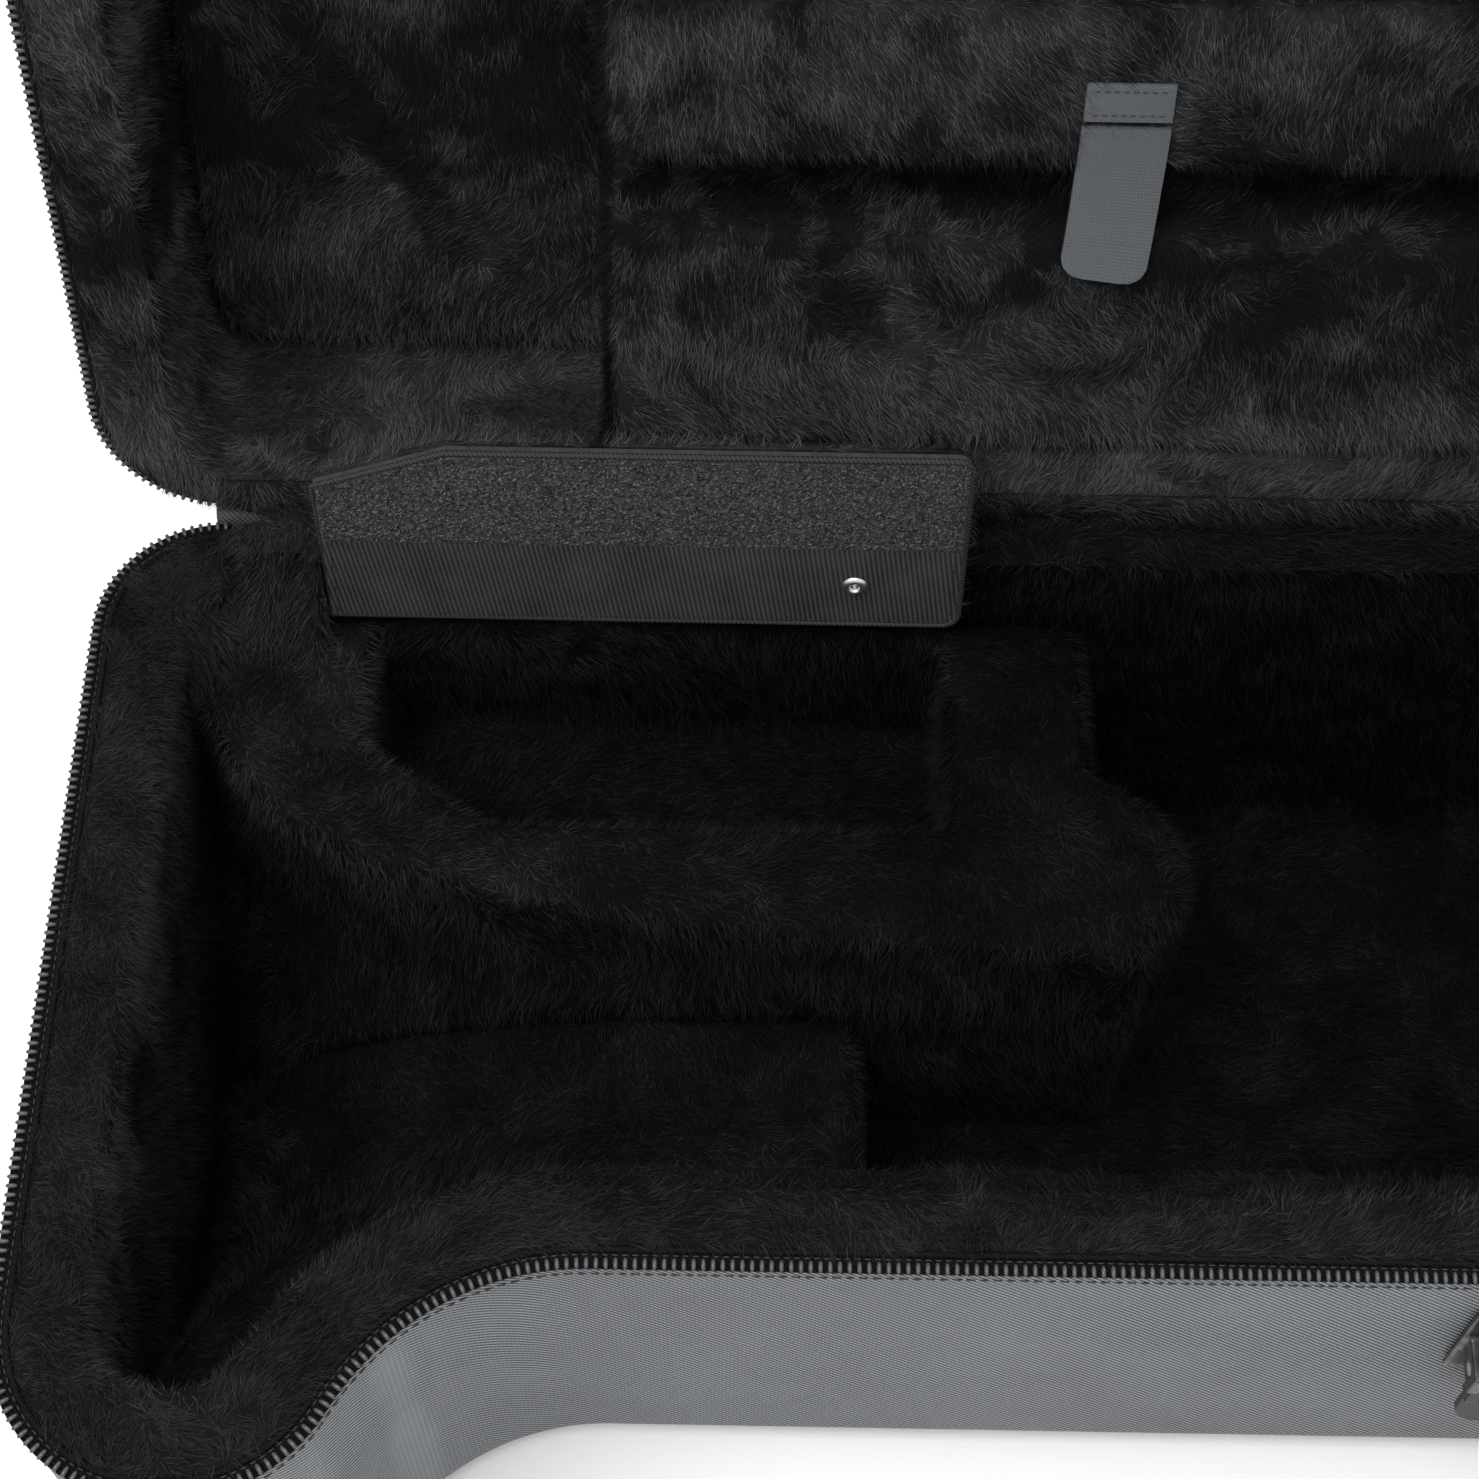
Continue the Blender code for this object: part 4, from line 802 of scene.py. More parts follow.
rim_zip("base", same)
rim_roll("base", same, RIM_ROOT, RIM_PILE, UP)
rim_zip("lid", lid_frame)
rim_roll("lid", lid_frame, LID_ROOT, LID_PILE, TO_LID.to_3x3() @ -UP)


# Plush in the rear left corner
CORNER_WALLS = (-0.4335, 0.1402, 0.0140)
CORNER_REACH = 0.0260
CORNER_TOP, CORNER_FOOT = 0.1690, 0.1392
CORNER_ROWS = 14
CORNER_PITCH, CORNER_REAR_STEPS, CORNER_LEFT_STEPS = 0.0015, 20, 16
CORNER_INSIDE = Vector((-0.3, 0.0))
CORNER_THIN, CORNER_BELOW = 0.0006, 0.0012
CORNER_COMB, CORNER_DENSITY, CORNER_LEAST_Z = (0.4, -0.5, -0.3), 1.2, 0.02


def corner_plush():
    """The pile that runs down from the rim to the tray, where the base has its rear left corner."""
    left, rear, bend = CORNER_WALLS
    path = [(left + bend + CORNER_PITCH * k, rear) for k in range(CORNER_REAR_STEPS, 0, -1)]
    path += arc((left + bend, rear - bend), bend, math.pi / 2, math.pi)[::4]
    path += [(left, rear - bend - CORNER_PITCH * k) for k in range(1, CORNER_LEFT_STEPS)]
    count = len(path)
    upper, lower = [], []
    for k, (x, y) in enumerate(path):
        a, b = path[max(k - 1, 0)], path[min(k + 1, count - 1)]
        way = Vector((b[0] - a[0], b[1] - a[1])).normalized()
        inward = Vector((-way.y, way.x))
        if inward.dot(CORNER_INSIDE - Vector((x, y))) < 0:
            inward = -inward
        wide = CORNER_REACH * min(1.0, k / 4 + 0.5, (count - 1 - k) / 12 + 0.08) ** 0.7
        for row in range(CORNER_ROWS + 1):
            share = row / CORNER_ROWS
            fall = share * share * (3 - 2 * share)
            height = CORNER_TOP + (CORNER_FOOT - CORNER_TOP) * fall
            place = Vector((x, y)) + inward * (wide * share)
            upper.append((place.x, place.y, height))
            lower.append((place.x, place.y, min(height - CORNER_THIN, CORNER_FOOT - CORNER_BELOW)))
    faces = sheet_faces(count - 1, CORNER_ROWS)
    piece = tidy_faces(new_object("corner_plush", upper + lower, faces, BASE_ROOT))
    for tuft in fur_on(piece, CORNER_COMB, DENSITY * CORNER_DENSITY, BASE_PILE, UP, CORNER_LEAST_Z):
        settle(tuft, "base", "plush")
    settle(piece, "base", "plush")


corner_plush()


# Cloth over the hinge
HINGE_LEFT = -0.4225
HINGE_STATIONS = 120
GUSSET_INSET = 0.0015
CLOTH_THICK, CLOTH_SWAY = 0.0009, 0.0003
SWAY_SCALE, SWAY_STEP = 16.0, 0.22


def smooth_line(points, count):
    """A smooth curve through a few points, read at even steps."""
    points = [Vector(p) for p in points]
    ends = [points[0] * 2 - points[1]] + points + [points[-1] * 2 - points[-2]]
    curve = []
    for k in range(count):
        share = k / (count - 1) * (len(points) - 1)
        part = min(int(share), len(points) - 2)
        t = share - part
        a, b, c, d = ends[part:part + 4]
        curve.append(0.5 * (2 * b + (c - a) * t + (2 * a - 5 * b + 4 * c - d) * t * t
                            + (3 * b - a - 3 * c + d) * t * t * t))
    return curve


def swept_sheet(name, profile, left, right, thickness, material, sway=0.0, seed=0.0, bite=(0.0, 1.0, 1.0)):
    """A thin cloth whose profile in Y and Z runs along X, with slight waves of its own.

    bite cuts a crescent from its left end: its depth, and the middle and the width of it along the profile.
    """
    count = len(profile)
    normals = []
    for k in range(count):
        way = (profile[min(k + 1, count - 1)] - profile[max(k - 1, 0)]).normalized()
        normals.append(Vector((0, -way.z, way.y)))
    upper, lower = [], []
    for station in range(HINGE_STATIONS + 1):
        for k, (point, normal) in enumerate(zip(profile, normals)):
            start = left + bite[0] * math.exp(-((k - bite[1]) / bite[2]) ** 2)
            x = start + (right - start) * station / HINGE_STATIONS
            free = math.sin(math.pi * k / (count - 1))
            rise = sway * free * noise.noise(Vector((x * SWAY_SCALE, k * SWAY_STEP, seed)))
            place = Vector((x, point.y, point.z)) + normal * rise
            upper.append(place)
            lower.append(place - normal * thickness)
    total = len(upper)
    faces = []
    for station in range(HINGE_STATIONS):
        for k in range(count - 1):
            a = station * count + k
            faces.append((a, a + 1, a + count + 1, a + count))
            faces.append((total + a, total + a + count, total + a + count + 1, total + a + 1))
    rows = HINGE_STATIONS * count
    for k in range(count - 1):
        faces.append((k, total + k, total + k + 1, k + 1))
        faces.append((rows + k, rows + k + 1, total + rows + k + 1, total + rows + k))
    for station in range(HINGE_STATIONS):
        a, b = station * count, (station + 1) * count
        faces.append((a, b, total + b, total + a))
        a, b = a + count - 1, b + count - 1
        faces.append((a, total + a, total + b, b))
    return tidy_faces(new_object(name, upper + lower, faces, material))


CLOTH = woven_shader("hinge_nylon", 0.028, 0.090, 0.0012)
# lines over the hinge, each point by how far it lies behind the rear wall and above the rim, on the base
# or turned with the lid
OUTER_ON_BASE = ((0.0012, -0.022), (0.0013, -0.008), (0.0018, -0.0015), (0.0046, 0.0010))
OUTER_ON_LID = ((0.0013, 0.008), (0.0012, 0.022))
INNER_ON_BASE = ((-0.0110, 0.0004), (-0.0055, 0.0022), (-0.0012, 0.0052), (0.0026, 0.0050))
INNER_ON_LID = ((-0.0045, -0.0024), (-0.0110, -0.0004))


def over_hinge(on_base, on_lid, count):
    """A smooth line from the base over the hinge to the lid."""
    points = [Vector((0, REAR_Y + back, RIM_Z + rise)) for back, rise in on_base]
    points += [TO_LID @ Vector((0, REAR_Y + back, RIM_Z + rise)) for back, rise in on_lid]
    return smooth_line(points, count)


outer = over_hinge(OUTER_ON_BASE, OUTER_ON_LID, 18)
nylon = swept_sheet("hinge_cloth", outer, HINGE_LEFT, -HINGE_LEFT, CLOTH_THICK, CLOTH, CLOTH_SWAY, 3.0)
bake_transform(nylon)
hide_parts("base_hinge_tape", "lid_hinge_tape", "hinge_fold")

# heights near the lid's edge over which painted light lifts the hinge's plush
GUSSET_TOP = (0.1755, 0.1835)
GUSSET_THICK, GUSSET_SWAY, GUSSET_BITE = 0.0011, 0.0012, (0.017, 9.0, 3.2)
GUSSET_COMB, GUSSET_DENSITY = (0.4, -0.5, 0.1), 1.4
GUSSET_WAY, GUSSET_LEAST = Vector((0, -0.55, 0.8)), 0.1
# the hinge's plush: as dark as the base's with painted shade, lifted with painted light towards the left end
# and near the lid
GUSSET_ROOT = plush_shader("plush_root_of_hinge", 0.0010, 0.0034, 0.0, 0.40, 0.0150, top_lift=GUSSET_TOP)
GUSSET_PILE = plush_shader("plush_pile_of_hinge", 0.0014, 0.0150, 0.5, 0.40, 0.0500, top_lift=GUSSET_TOP)
inner = over_hinge(INNER_ON_BASE, INNER_ON_LID, 22)
gusset = swept_sheet("hinge_gusset", inner, HINGE_LEFT + GUSSET_INSET, -HINGE_LEFT - GUSSET_INSET,
                     GUSSET_THICK, GUSSET_ROOT, GUSSET_SWAY, 8.0, GUSSET_BITE)
gusset_fur = fur_on(gusset, GUSSET_COMB, DENSITY * GUSSET_DENSITY, GUSSET_PILE, GUSSET_WAY, GUSSET_LEAST)
for piece in [gusset] + gusset_fur:
    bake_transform(piece)


# Nylon covers
COVER = 0.0016
COVER_DROP = 0.0032
NYLON = woven_shader("outer_nylon", 0.004, 0.290, 0.0016, 0.5, -0.14, 0.0012)
SEAM = woven_shader("seam_cloth", 0.010, 0.045, 0.0010)


COVER_FOOT = 0.004
COVER_ROWS, EDGE_STEPS = 10, 8
RIPPLE, RIPPLE_SCALES = 0.00035, (24.0, 70.0)
SEAM_RADIUS, SEAM_SUNK = 0.0013, 0.0001
WALL_STITCH = (0.0026, 0.0007, 0.0006, 6, 3)
WALL_STITCH_MARGIN, WALL_STITCH_DEPTH, WALL_STITCH_PITCH = -0.0001, 0.0085, 0.0036
COVERS = (("base", 0.170, 0.018, same), ("lid", 0.095, 0.028, lid_frame))


def cover_shape(body, height, edge, carry):
    """The outer cloth: wall, rounded edge and flat, with its inner side one thickness in."""
    bend = [math.pi / 2 * k / EDGE_STEPS for k in range(EDGE_STEPS + 1)]
    foot = COVER_DROP + COVER_FOOT
    outside = [(0.0, COVER_DROP), (0.0, foot)]
    outside += [(0.0, foot + (height - edge - foot) * k / COVER_ROWS) for k in range(1, COVER_ROWS)]
    outside += [(edge * (1 - math.cos(a)), height - edge + edge * math.sin(a)) for a in bend]
    small = edge - COVER
    inside = [(COVER + small * (1 - math.cos(a)), height - COVER - small + small * math.sin(a)) for a in bend]
    inside = [(COVER, COVER_DROP)] + inside
    profile = list(reversed(inside)) + outside
    points = [(x, y, RIM_Z - depth) for margin, depth in profile for x, y in rim_line(margin)]
    count = len(points) // len(profile)
    faces = bar_faces(len(profile), count)
    piece = tidy_faces(new_object(body + "_nylon", carry(points), faces, NYLON))
    mesh = piece.data
    mesh.polygons[-1].use_smooth = mesh.polygons[-2].use_smooth = False
    for vert in mesh.vertices[(len(inside) + 2) * count:(len(profile) - 3) * count]:
        ripple = noise.noise(vert.co * RIPPLE_SCALES[0]) + 0.5 * noise.noise(vert.co * RIPPLE_SCALES[1])
        vert.co -= vert.normal * (RIPPLE * (1 + ripple))
    settle(piece, body, "nylon", body + "_cover")


def cover_seams(body, height, edge, carry):
    """The seam along the rounded edge of a cover, and the stitches under its rim."""
    at = edge * (1 - math.cos(math.pi / 4)) - SEAM_SUNK
    line = carry([(x, y, RIM_Z - (height - at - 2 * SEAM_SUNK)) for x, y in rim_line(at)])
    settle(tube(body + "_edge_seam", line, SEAM_RADIUS, 8, SEAM, True), body, "nylon")
    frames = rim_frames(WALL_STITCH_MARGIN, RIM_Z - WALL_STITCH_DEPTH, WALL_STITCH_PITCH, False, carry)
    strew(body + "_wall_stitches", WALL_STITCH, frames, THREAD, body, "nylon")


for cover in COVERS:
    cover_shape(*cover)
    cover_seams(*cover)


# Flap of the compartment
FLAP_HINGE = Vector((-0.2907, 0.1356, 0.146))
FLAP_ANGLE = math.radians(98.0)
TO_FLAP = (Matrix.Translation(FLAP_HINGE) @ Matrix.Rotation(-FLAP_ANGLE, 4, "X")
           @ Matrix.Translation(-FLAP_HINGE))
FLAP_LEFT, FLAP_RIGHT = -0.3882, -0.1932
FLAP_REAR, FLAP_FRONT = 0.1356, 0.0614
FLAP_SKIN_LOW, FLAP_SKIN_HIGH = 0.1403, 0.1419
FLAP_SPLIT = FLAP_REAR - 0.035
FLAP_CHAMFER = (0.040, 0.015)
FLAP_CORNER = 0.005
RIB_PITCH = 0.0015
RIB_WAY = Vector((1.0, 0.020, 0.140)).normalized()


def on_flap(points):
    """Points drawn as if the flap were shut, carried to the standing flap."""
    return [TO_FLAP @ Vector(p) for p in points]


def flap_line(margin):
    """Outline of the flap, anticlockwise from the rear left, drawn in by a margin."""
    left, right = FLAP_LEFT + margin, FLAP_RIGHT - margin
    rear, front = FLAP_REAR - margin, FLAP_FRONT + margin
    bend = FLAP_CORNER - margin * 0.5
    line = [(left, rear), (left, front + FLAP_CHAMFER[1]), (left + FLAP_CHAMFER[0], front)]
    line += arc((right - bend, front + bend), bend, -math.pi / 2, 0.0, 8)
    return line + arc((right - bend, rear - bend), bend, 0.0, math.pi / 2, 8)


def cut_line(line, keep_front):
    """The part of a flap outline on one side of the split between hook strip and cloth."""
    kept = []
    for before, here in zip(line[-1:] + line[:-1], line):
        inside = (here[1] <= FLAP_SPLIT) == keep_front
        was = (before[1] <= FLAP_SPLIT) == keep_front
        if inside != was:
            share = (FLAP_SPLIT - before[1]) / (here[1] - before[1])
            kept.append((before[0] + share * (here[0] - before[0]), FLAP_SPLIT))
        if inside:
            kept.append(here)
    return kept


def slab(name, line, low, high, material, carry):
    """A flat plate between two heights, in a given outline."""
    count = len(line)
    points = [(x, y, low) for x, y in line] + [(x, y, high) for x, y in line]
    faces = [tuple(reversed(range(count))), tuple(range(count, 2 * count))]
    faces += [(k, (k + 1) % count, count + (k + 1) % count, count + k) for k in range(count)]
    return tidy_faces(new_object(name, carry(points), faces, material, False))


HOOK = speckled("hook_ground", grey(0.03), 0.7, relief=(700.0, 0.8, 0.0006),
                specks=(900.0, 3.0, (0.35, grey(0.008)), (0.65, grey(0.058))))
HOOKS = speckled("hook_ends", grey(0.1), 0.45, specks=(850.0, 3.0, (0.41, grey(0.005)), (0.59, grey(0.106))))
RIB = Shader("ribbed_cloth", grey(0.04), 0.85, Specular_IOR_Level=0.08)
# the cloth is lighter on its ridges and darker in its valleys, in step with the geometry's ridges: painted
# shade
RIDGES = RIB.stripes(RIB_WAY, RIB_PITCH)
RIB.colour(RIB.times_plus(RIDGES, 0.5, RIB.times(RIB.noise(60.0), 0.5)),
           (0.15, grey(0.013)), (0.85, grey(0.067)))
RIB = RIB.bump(RIB.noise(1200.0), 0.4, 0.0003).material
HEM = woven_shader("hem_cloth", 0.006, 0.036, 0.0010)
DARK_THREAD = speckled("dark_thread", (0.010, 0.011, 0.012), 0.7, relief=FIBRES)

FLAP_INSET = 0.0008
HOOK_COUNT = 9600
HOOK_SIZE = (0.0012, 0.00056, 0.00050, 4, 2)
HOOK_INSET, HOOK_SUNK, HOOK_RISE = 0.0015, 0.0004, 0.0005
HOOK_CORNER = 1.12
RIB_ROWS, RIB_COLUMNS = 52, 5
RIB_GAP, RIB_SUNK, RIB_RISE = 0.0002, 0.00035, 0.00022
HEM_MARGIN, HEM_SUNK, HEM_RADIUS = 0.0004, 0.0009, 0.0010
FLAP_STITCH = (0.0022, 0.0005, 0.0004, 6, 3)
FLAP_STITCH_MARGIN, FLAP_STITCH_PITCH, FLAP_STITCH_RISE = 0.0030, 0.0032, 0.0001


def hook_strip():
    """The strip of hooks on the front of the flap: its ground and the ends of the hooks."""
    ground = slab("flap_hook_ground", cut_line(flap_line(FLAP_INSET), True), FLAP_SKIN_LOW + HOOK_SUNK,
                  FLAP_SKIN_HIGH, HOOK, on_flap)
    settle(ground, "flap", "hook", "flap_hook_strip")
    draw = np.random.default_rng(7)
    frames = []
    while len(frames) < HOOK_COUNT:
        x = draw.uniform(FLAP_LEFT + HOOK_INSET, FLAP_RIGHT - HOOK_INSET)
        y = draw.uniform(FLAP_FRONT + HOOK_INSET, FLAP_SPLIT - FLAP_INSET)
        if (x - FLAP_LEFT) / FLAP_CHAMFER[0] + (y - FLAP_FRONT) / FLAP_CHAMFER[1] < HOOK_CORNER:
            continue
        turn = draw.uniform(0, math.pi)
        a = Vector((math.cos(turn), math.sin(turn), draw.uniform(-0.5, 0.5))).normalized()
        b = a.orthogonal().normalized()
        size = draw.uniform(0.7, 1.3)
        rows = [TO_FLAP.to_3x3() @ v * size for v in (a, b, a.cross(b))]
        origin = TO_FLAP @ Vector((x, y, FLAP_SKIN_LOW + draw.uniform(0.0, HOOK_RISE)))
        frames.append((tuple(origin), [tuple(v) for v in rows]))
    strew("flap_hooks", HOOK_SIZE, frames, HOOKS, "flap", "hook")


def ribbed_face():
    """The ribbed cloth: one ridge every pitch, leaning a little, closed at the back and the edges."""
    wide = FLAP_RIGHT - FLAP_LEFT - 2 * FLAP_INSET
    columns, rows = int(wide / RIB_PITCH * RIB_COLUMNS), RIB_ROWS
    low = FLAP_SPLIT + RIB_GAP
    grid = []
    for column in range(columns + 1):
        x = FLAP_LEFT + FLAP_INSET + wide * column / columns
        reach = max(0.0, x - (FLAP_RIGHT - FLAP_CORNER))
        rear = FLAP_REAR - FLAP_INSET - (FLAP_CORNER - math.sqrt(max(FLAP_CORNER ** 2 - reach ** 2, 0.0)))
        for row in range(rows):
            y = low + (rear - low) * row / (rows - 1)
            place = TO_FLAP @ Vector((x, y, FLAP_SKIN_LOW))
            ridge = math.sin(2 * math.pi * place.dot(RIB_WAY) / RIB_PITCH)
            grid.append((x, y, FLAP_SKIN_LOW + RIB_SUNK - RIB_RISE * ridge))
    faces = quads(columns + 1, rows, False)
    edge = [column * rows for column in range(columns + 1)]
    edge += [columns * rows + row for row in range(1, rows)]
    edge += [column * rows + rows - 1 for column in range(columns - 1, -1, -1)]
    edge += [row for row in range(rows - 2, 0, -1)]
    back, count = len(grid), len(edge)
    grid += [(grid[k][0], grid[k][1], FLAP_SKIN_HIGH) for k in edge]
    faces += [(edge[k], edge[(k + 1) % count], back + (k + 1) % count, back + k) for k in range(count)]
    faces.append(tuple(back + k for k in range(count)))
    ribbed = crisp(tidy_faces(new_object("flap_ribbed_cloth", on_flap(grid), faces, RIB)))
    settle(ribbed, "flap", "ribbed", "flap_ribbed_face")


def ring_frames(line, height, pitch, carry):
    """Frames for stitches along a closed line at one height, before it is carried."""
    places, ways = spaced([(*point, 0.0) for point in line + line[:1]], pitch)
    return [frame_at(carry, Vector((*place[:2], height)), Vector(way), Vector((way[1], -way[0], 0.0)))
            for place, way in zip(places, ways)]


def flap_edge():
    """The hem round the flap, and the stitches inside it."""
    line = on_flap([(x, y, FLAP_SKIN_LOW + HEM_SUNK) for x, y in flap_line(HEM_MARGIN)])
    settle(tube("flap_hem", line, HEM_RADIUS, 8, HEM, True), "flap", "ribbed")
    frames = ring_frames(flap_line(FLAP_STITCH_MARGIN), FLAP_SKIN_LOW - FLAP_STITCH_RISE, FLAP_STITCH_PITCH,
                         on_flap)
    strew("flap_stitches", FLAP_STITCH, frames, DARK_THREAD, "flap", "ribbed")


hook_strip()
ribbed_face()
flap_edge()


TURNED_SIDES = 40


def turned(name, profile, place, up, material):
    """A closed ring turned from a profile of radius and height."""
    turn = Vector(up).to_track_quat("Z", "Y")
    points = []
    for k in range(TURNED_SIDES):
        angle = 2 * math.pi * k / TURNED_SIDES
        points += [Vector(place) + turn @ Vector((radius * math.cos(angle), radius * math.sin(angle), height))
                   for radius, height in profile]
    return tidy_faces(new_object(name, points, quads(TURNED_SIDES, len(profile), True, True), material))


STEEL = speckled("bright_steel", (0.72, 0.72, 0.73), 0.36, 1.0, relief=(900.0, 0.08, 0.0002),
                 specks=(300.0, 3.0, (0.3, (0.66, 0.66, 0.67)), (0.7, (0.80, 0.80, 0.81))))
# the rivet's place on the flap, and its section in radius and height
RIVET_FROM_RIGHT, RIVET_FROM_REAR = 0.033, 0.019
RIVET_RING = ((0.0013, -0.0010), (0.0013, 0.0002), (0.0015, 0.0008), (0.0020, 0.0011), (0.0027, 0.0011),
              (0.0035, 0.0008), (0.0040, 0.0003), (0.0041, -0.0001), (0.0032, -0.0002), (0.0024, -0.0010))
RIVET_CORE = ((0.0001, -0.0006), (0.0013, -0.0006), (0.00128, -0.0003), (0.0001, -0.0001))
rivet_at = TO_FLAP @ Vector((FLAP_RIGHT - RIVET_FROM_RIGHT, FLAP_REAR - RIVET_FROM_REAR, FLAP_SKIN_LOW))
rivet_up = TO_FLAP.to_3x3() @ -UP
settle(turned("flap_rivet_ring", RIVET_RING, rivet_at, rivet_up, STEEL), "flap", "steel", "flap_rivet")
settle(turned("flap_rivet_core", RIVET_CORE, rivet_at, rivet_up, STEEL), "flap", "steel")


# Webbing straps on the lid
WEBBING = woven_shader("grey_webbing", 0.055, 0.155, 0.0006, 0.75)
BLACK_WEBBING = woven_shader("black_webbing", 0.012, 0.050, 0.0010, 0.6)


def on_open_lid(points):
    """Points drawn as if the lid were shut, carried to the open lid."""
    return [TO_LID @ Vector(p) for p in points]


STITCH_SHARE, STITCH_WIDE, STITCH_HIGH = 0.72, 0.0006, 0.0005


def stitch_run(name, start, end, pitch, carry, body, slot, up=UP):
    """A straight run of stitches between two points."""
    start, end = Vector(start), Vector(end)
    way = (end - start).normalized()
    side = up.cross(way)
    count = max(2, int((end - start).length / pitch))
    frames = [frame_at(carry, start + (end - start) * (k + 0.5) / count, way, side, up) for k in range(count)]
    strew(name, (pitch * STITCH_SHARE, STITCH_WIDE, STITCH_HIGH, 6, 3), frames, THREAD, body, slot)


STRAP_LOW, STRAP_HIGH = 0.1881, 0.1897
STRAP_START, STRAP_END, STRAP_HALF, STRAP_CORNER = 0.0190, 0.0690, 0.0125, 0.0062
STRAP_DRIFT, STRAP_SKEW = 0.0022, 0.14
STRAP_LIFT, STRAP_SAG = 0.0030, 0.0006
STRAP_ROWS, STRAP_COLUMNS = 176, 14
STRAP_RIB_RISE, STRAP_RIB_PITCH, STRAP_EDGE = 0.00006, 0.0011, 0.0002
ANCHOR_ROWS, ANCHOR_HALF, ANCHOR_FACE, ANCHOR_PITCH = (0.0070, 0.0146), 0.0105, 0.1880, 0.0024
CLOTH_VOXEL, CLOTH_ROUNDS = 0.0007, 2


def replace_soft(node, body, slot, voxel, material, name=None, smooth=True):
    """A CAD node with its edges rounded as cloth or cast metal has them."""
    piece = piece_from(softened(node, voxel, CLOTH_ROUNDS), name or node + "_finished", material, smooth)
    settle(piece, body, slot, node)


def strap(name, middle, body, node):
    """A tongue of webbing: ribbed across, rounded at the tip, and lifting a little there."""
    face, back = [], []
    for row in range(STRAP_ROWS + 1):
        share = row / STRAP_ROWS
        y = STRAP_START + (STRAP_END - STRAP_START) * row / STRAP_ROWS
        reach = max(0.0, y - (STRAP_END - STRAP_CORNER))
        half = STRAP_HALF - STRAP_CORNER + math.sqrt(max(STRAP_CORNER ** 2 - reach ** 2, 0.0)) + 1e-5
        lift = STRAP_LIFT * share ** 3 - STRAP_SAG * math.sin(math.pi * min(1.0, share * 1.4))
        rib = STRAP_RIB_RISE * math.cos(2 * math.pi * y / STRAP_RIB_PITCH)
        for column in range(STRAP_COLUMNS + 1):
            aside = half * (2 * column / STRAP_COLUMNS - 1)
            x = middle + aside - STRAP_DRIFT * share ** 2
            at = y + STRAP_SKEW * aside * share
            edge = STRAP_EDGE if 0 < column < STRAP_COLUMNS else 0.0
            face.append((x, at, STRAP_LOW - lift - edge + rib))
            back.append((x, at, STRAP_HIGH - lift + edge * 0.5))
    faces = sheet_faces(STRAP_ROWS, STRAP_COLUMNS)
    piece = crisp(tidy_faces(new_object(name, on_open_lid(face + back), faces, WEBBING)))
    settle(piece, body, "webbing", node)


STRAPS = (("slide_strap_near_bell", -0.1560), ("slide_strap_far", 0.2002))
for number, (body, middle) in enumerate(STRAPS, start=1):
    strap("strap_tongue_" + str(number), middle, body, "slide_strap_" + str(number))
    replace_soft("strap_anchor_" + str(number), "lid", "webbing", CLOTH_VOXEL, WEBBING,
                 "strap_anchor_cloth_" + str(number), False)
    for row, y in enumerate(ANCHOR_ROWS, start=1):
        stitch_run("anchor_stitches_{}_{}".format(number, row), (middle - ANCHOR_HALF, y, ANCHOR_FACE),
                   (middle + ANCHOR_HALF, y, ANCHOR_FACE), ANCHOR_PITCH, on_open_lid, "lid", "webbing")


# Document pocket
POCKET_HALF = (0.200, 0.085)
POCKET_MIDDLE = (0.0, 0.029)
POCKET_BACK, POCKET_FACE = 0.2653, 0.2806
POCKET_BEND, POCKET_LEAST_BEND = 0.025, 0.006
POCKET_SIDE_STEPS = (30, 12)
# margins from the pocket's outline and heights over its back, and the flat face after them
POCKET_EDGE_LINE = ((0.0, 0.0), (0.0, 0.0009), (0.0035, 0.0012), (0.0060, 0.0016), (0.0075, 0.0045),
                    (0.0085, 0.0085), (0.0105, 0.0122), (0.0145, 0.0142))
POCKET_FLAT, POCKET_INNER, POCKET_STEPS = 0.021, 0.058, 12
POCKET_DISH, POCKET_CREASE = 0.0006, 0.0007
POCKET_PIPING_MARGIN, POCKET_PIPING_RISE, POCKET_PIPING_RADIUS = 0.0008, 0.0016, 0.0013
POCKET_STITCH = (0.0024, 0.0006, 0.0005, 6, 3)
POCKET_STITCH_MARGIN, POCKET_STITCH_RISE, POCKET_STITCH_PITCH = 0.0040, 0.0014, 0.0034


def pocket_ring(margin):
    """The pocket's outline with rounded corners, drawn in by a margin."""
    half_x, half_y = POCKET_HALF[0] - margin, POCKET_HALF[1] - margin
    bend = min(max(POCKET_BEND - margin * 0.6, POCKET_LEAST_BEND), half_y * 0.98)
    corners = [arc((POCKET_MIDDLE[0] + x * (half_x - bend), POCKET_MIDDLE[1] + y * (half_y - bend)), bend,
                   math.pi / 2 * k, math.pi / 2 * (k + 1), 12) for k, (x, y) in enumerate(FOUR_CORNERS)]
    ring = []
    for k, corner in enumerate(corners):
        steps = POCKET_SIDE_STEPS[k % 2]
        start, end = Vector(corner[-1]), Vector(corners[(k + 1) % 4][0])
        ring += corner + [tuple(start.lerp(end, j / steps)) for j in range(1, steps)]
    return ring


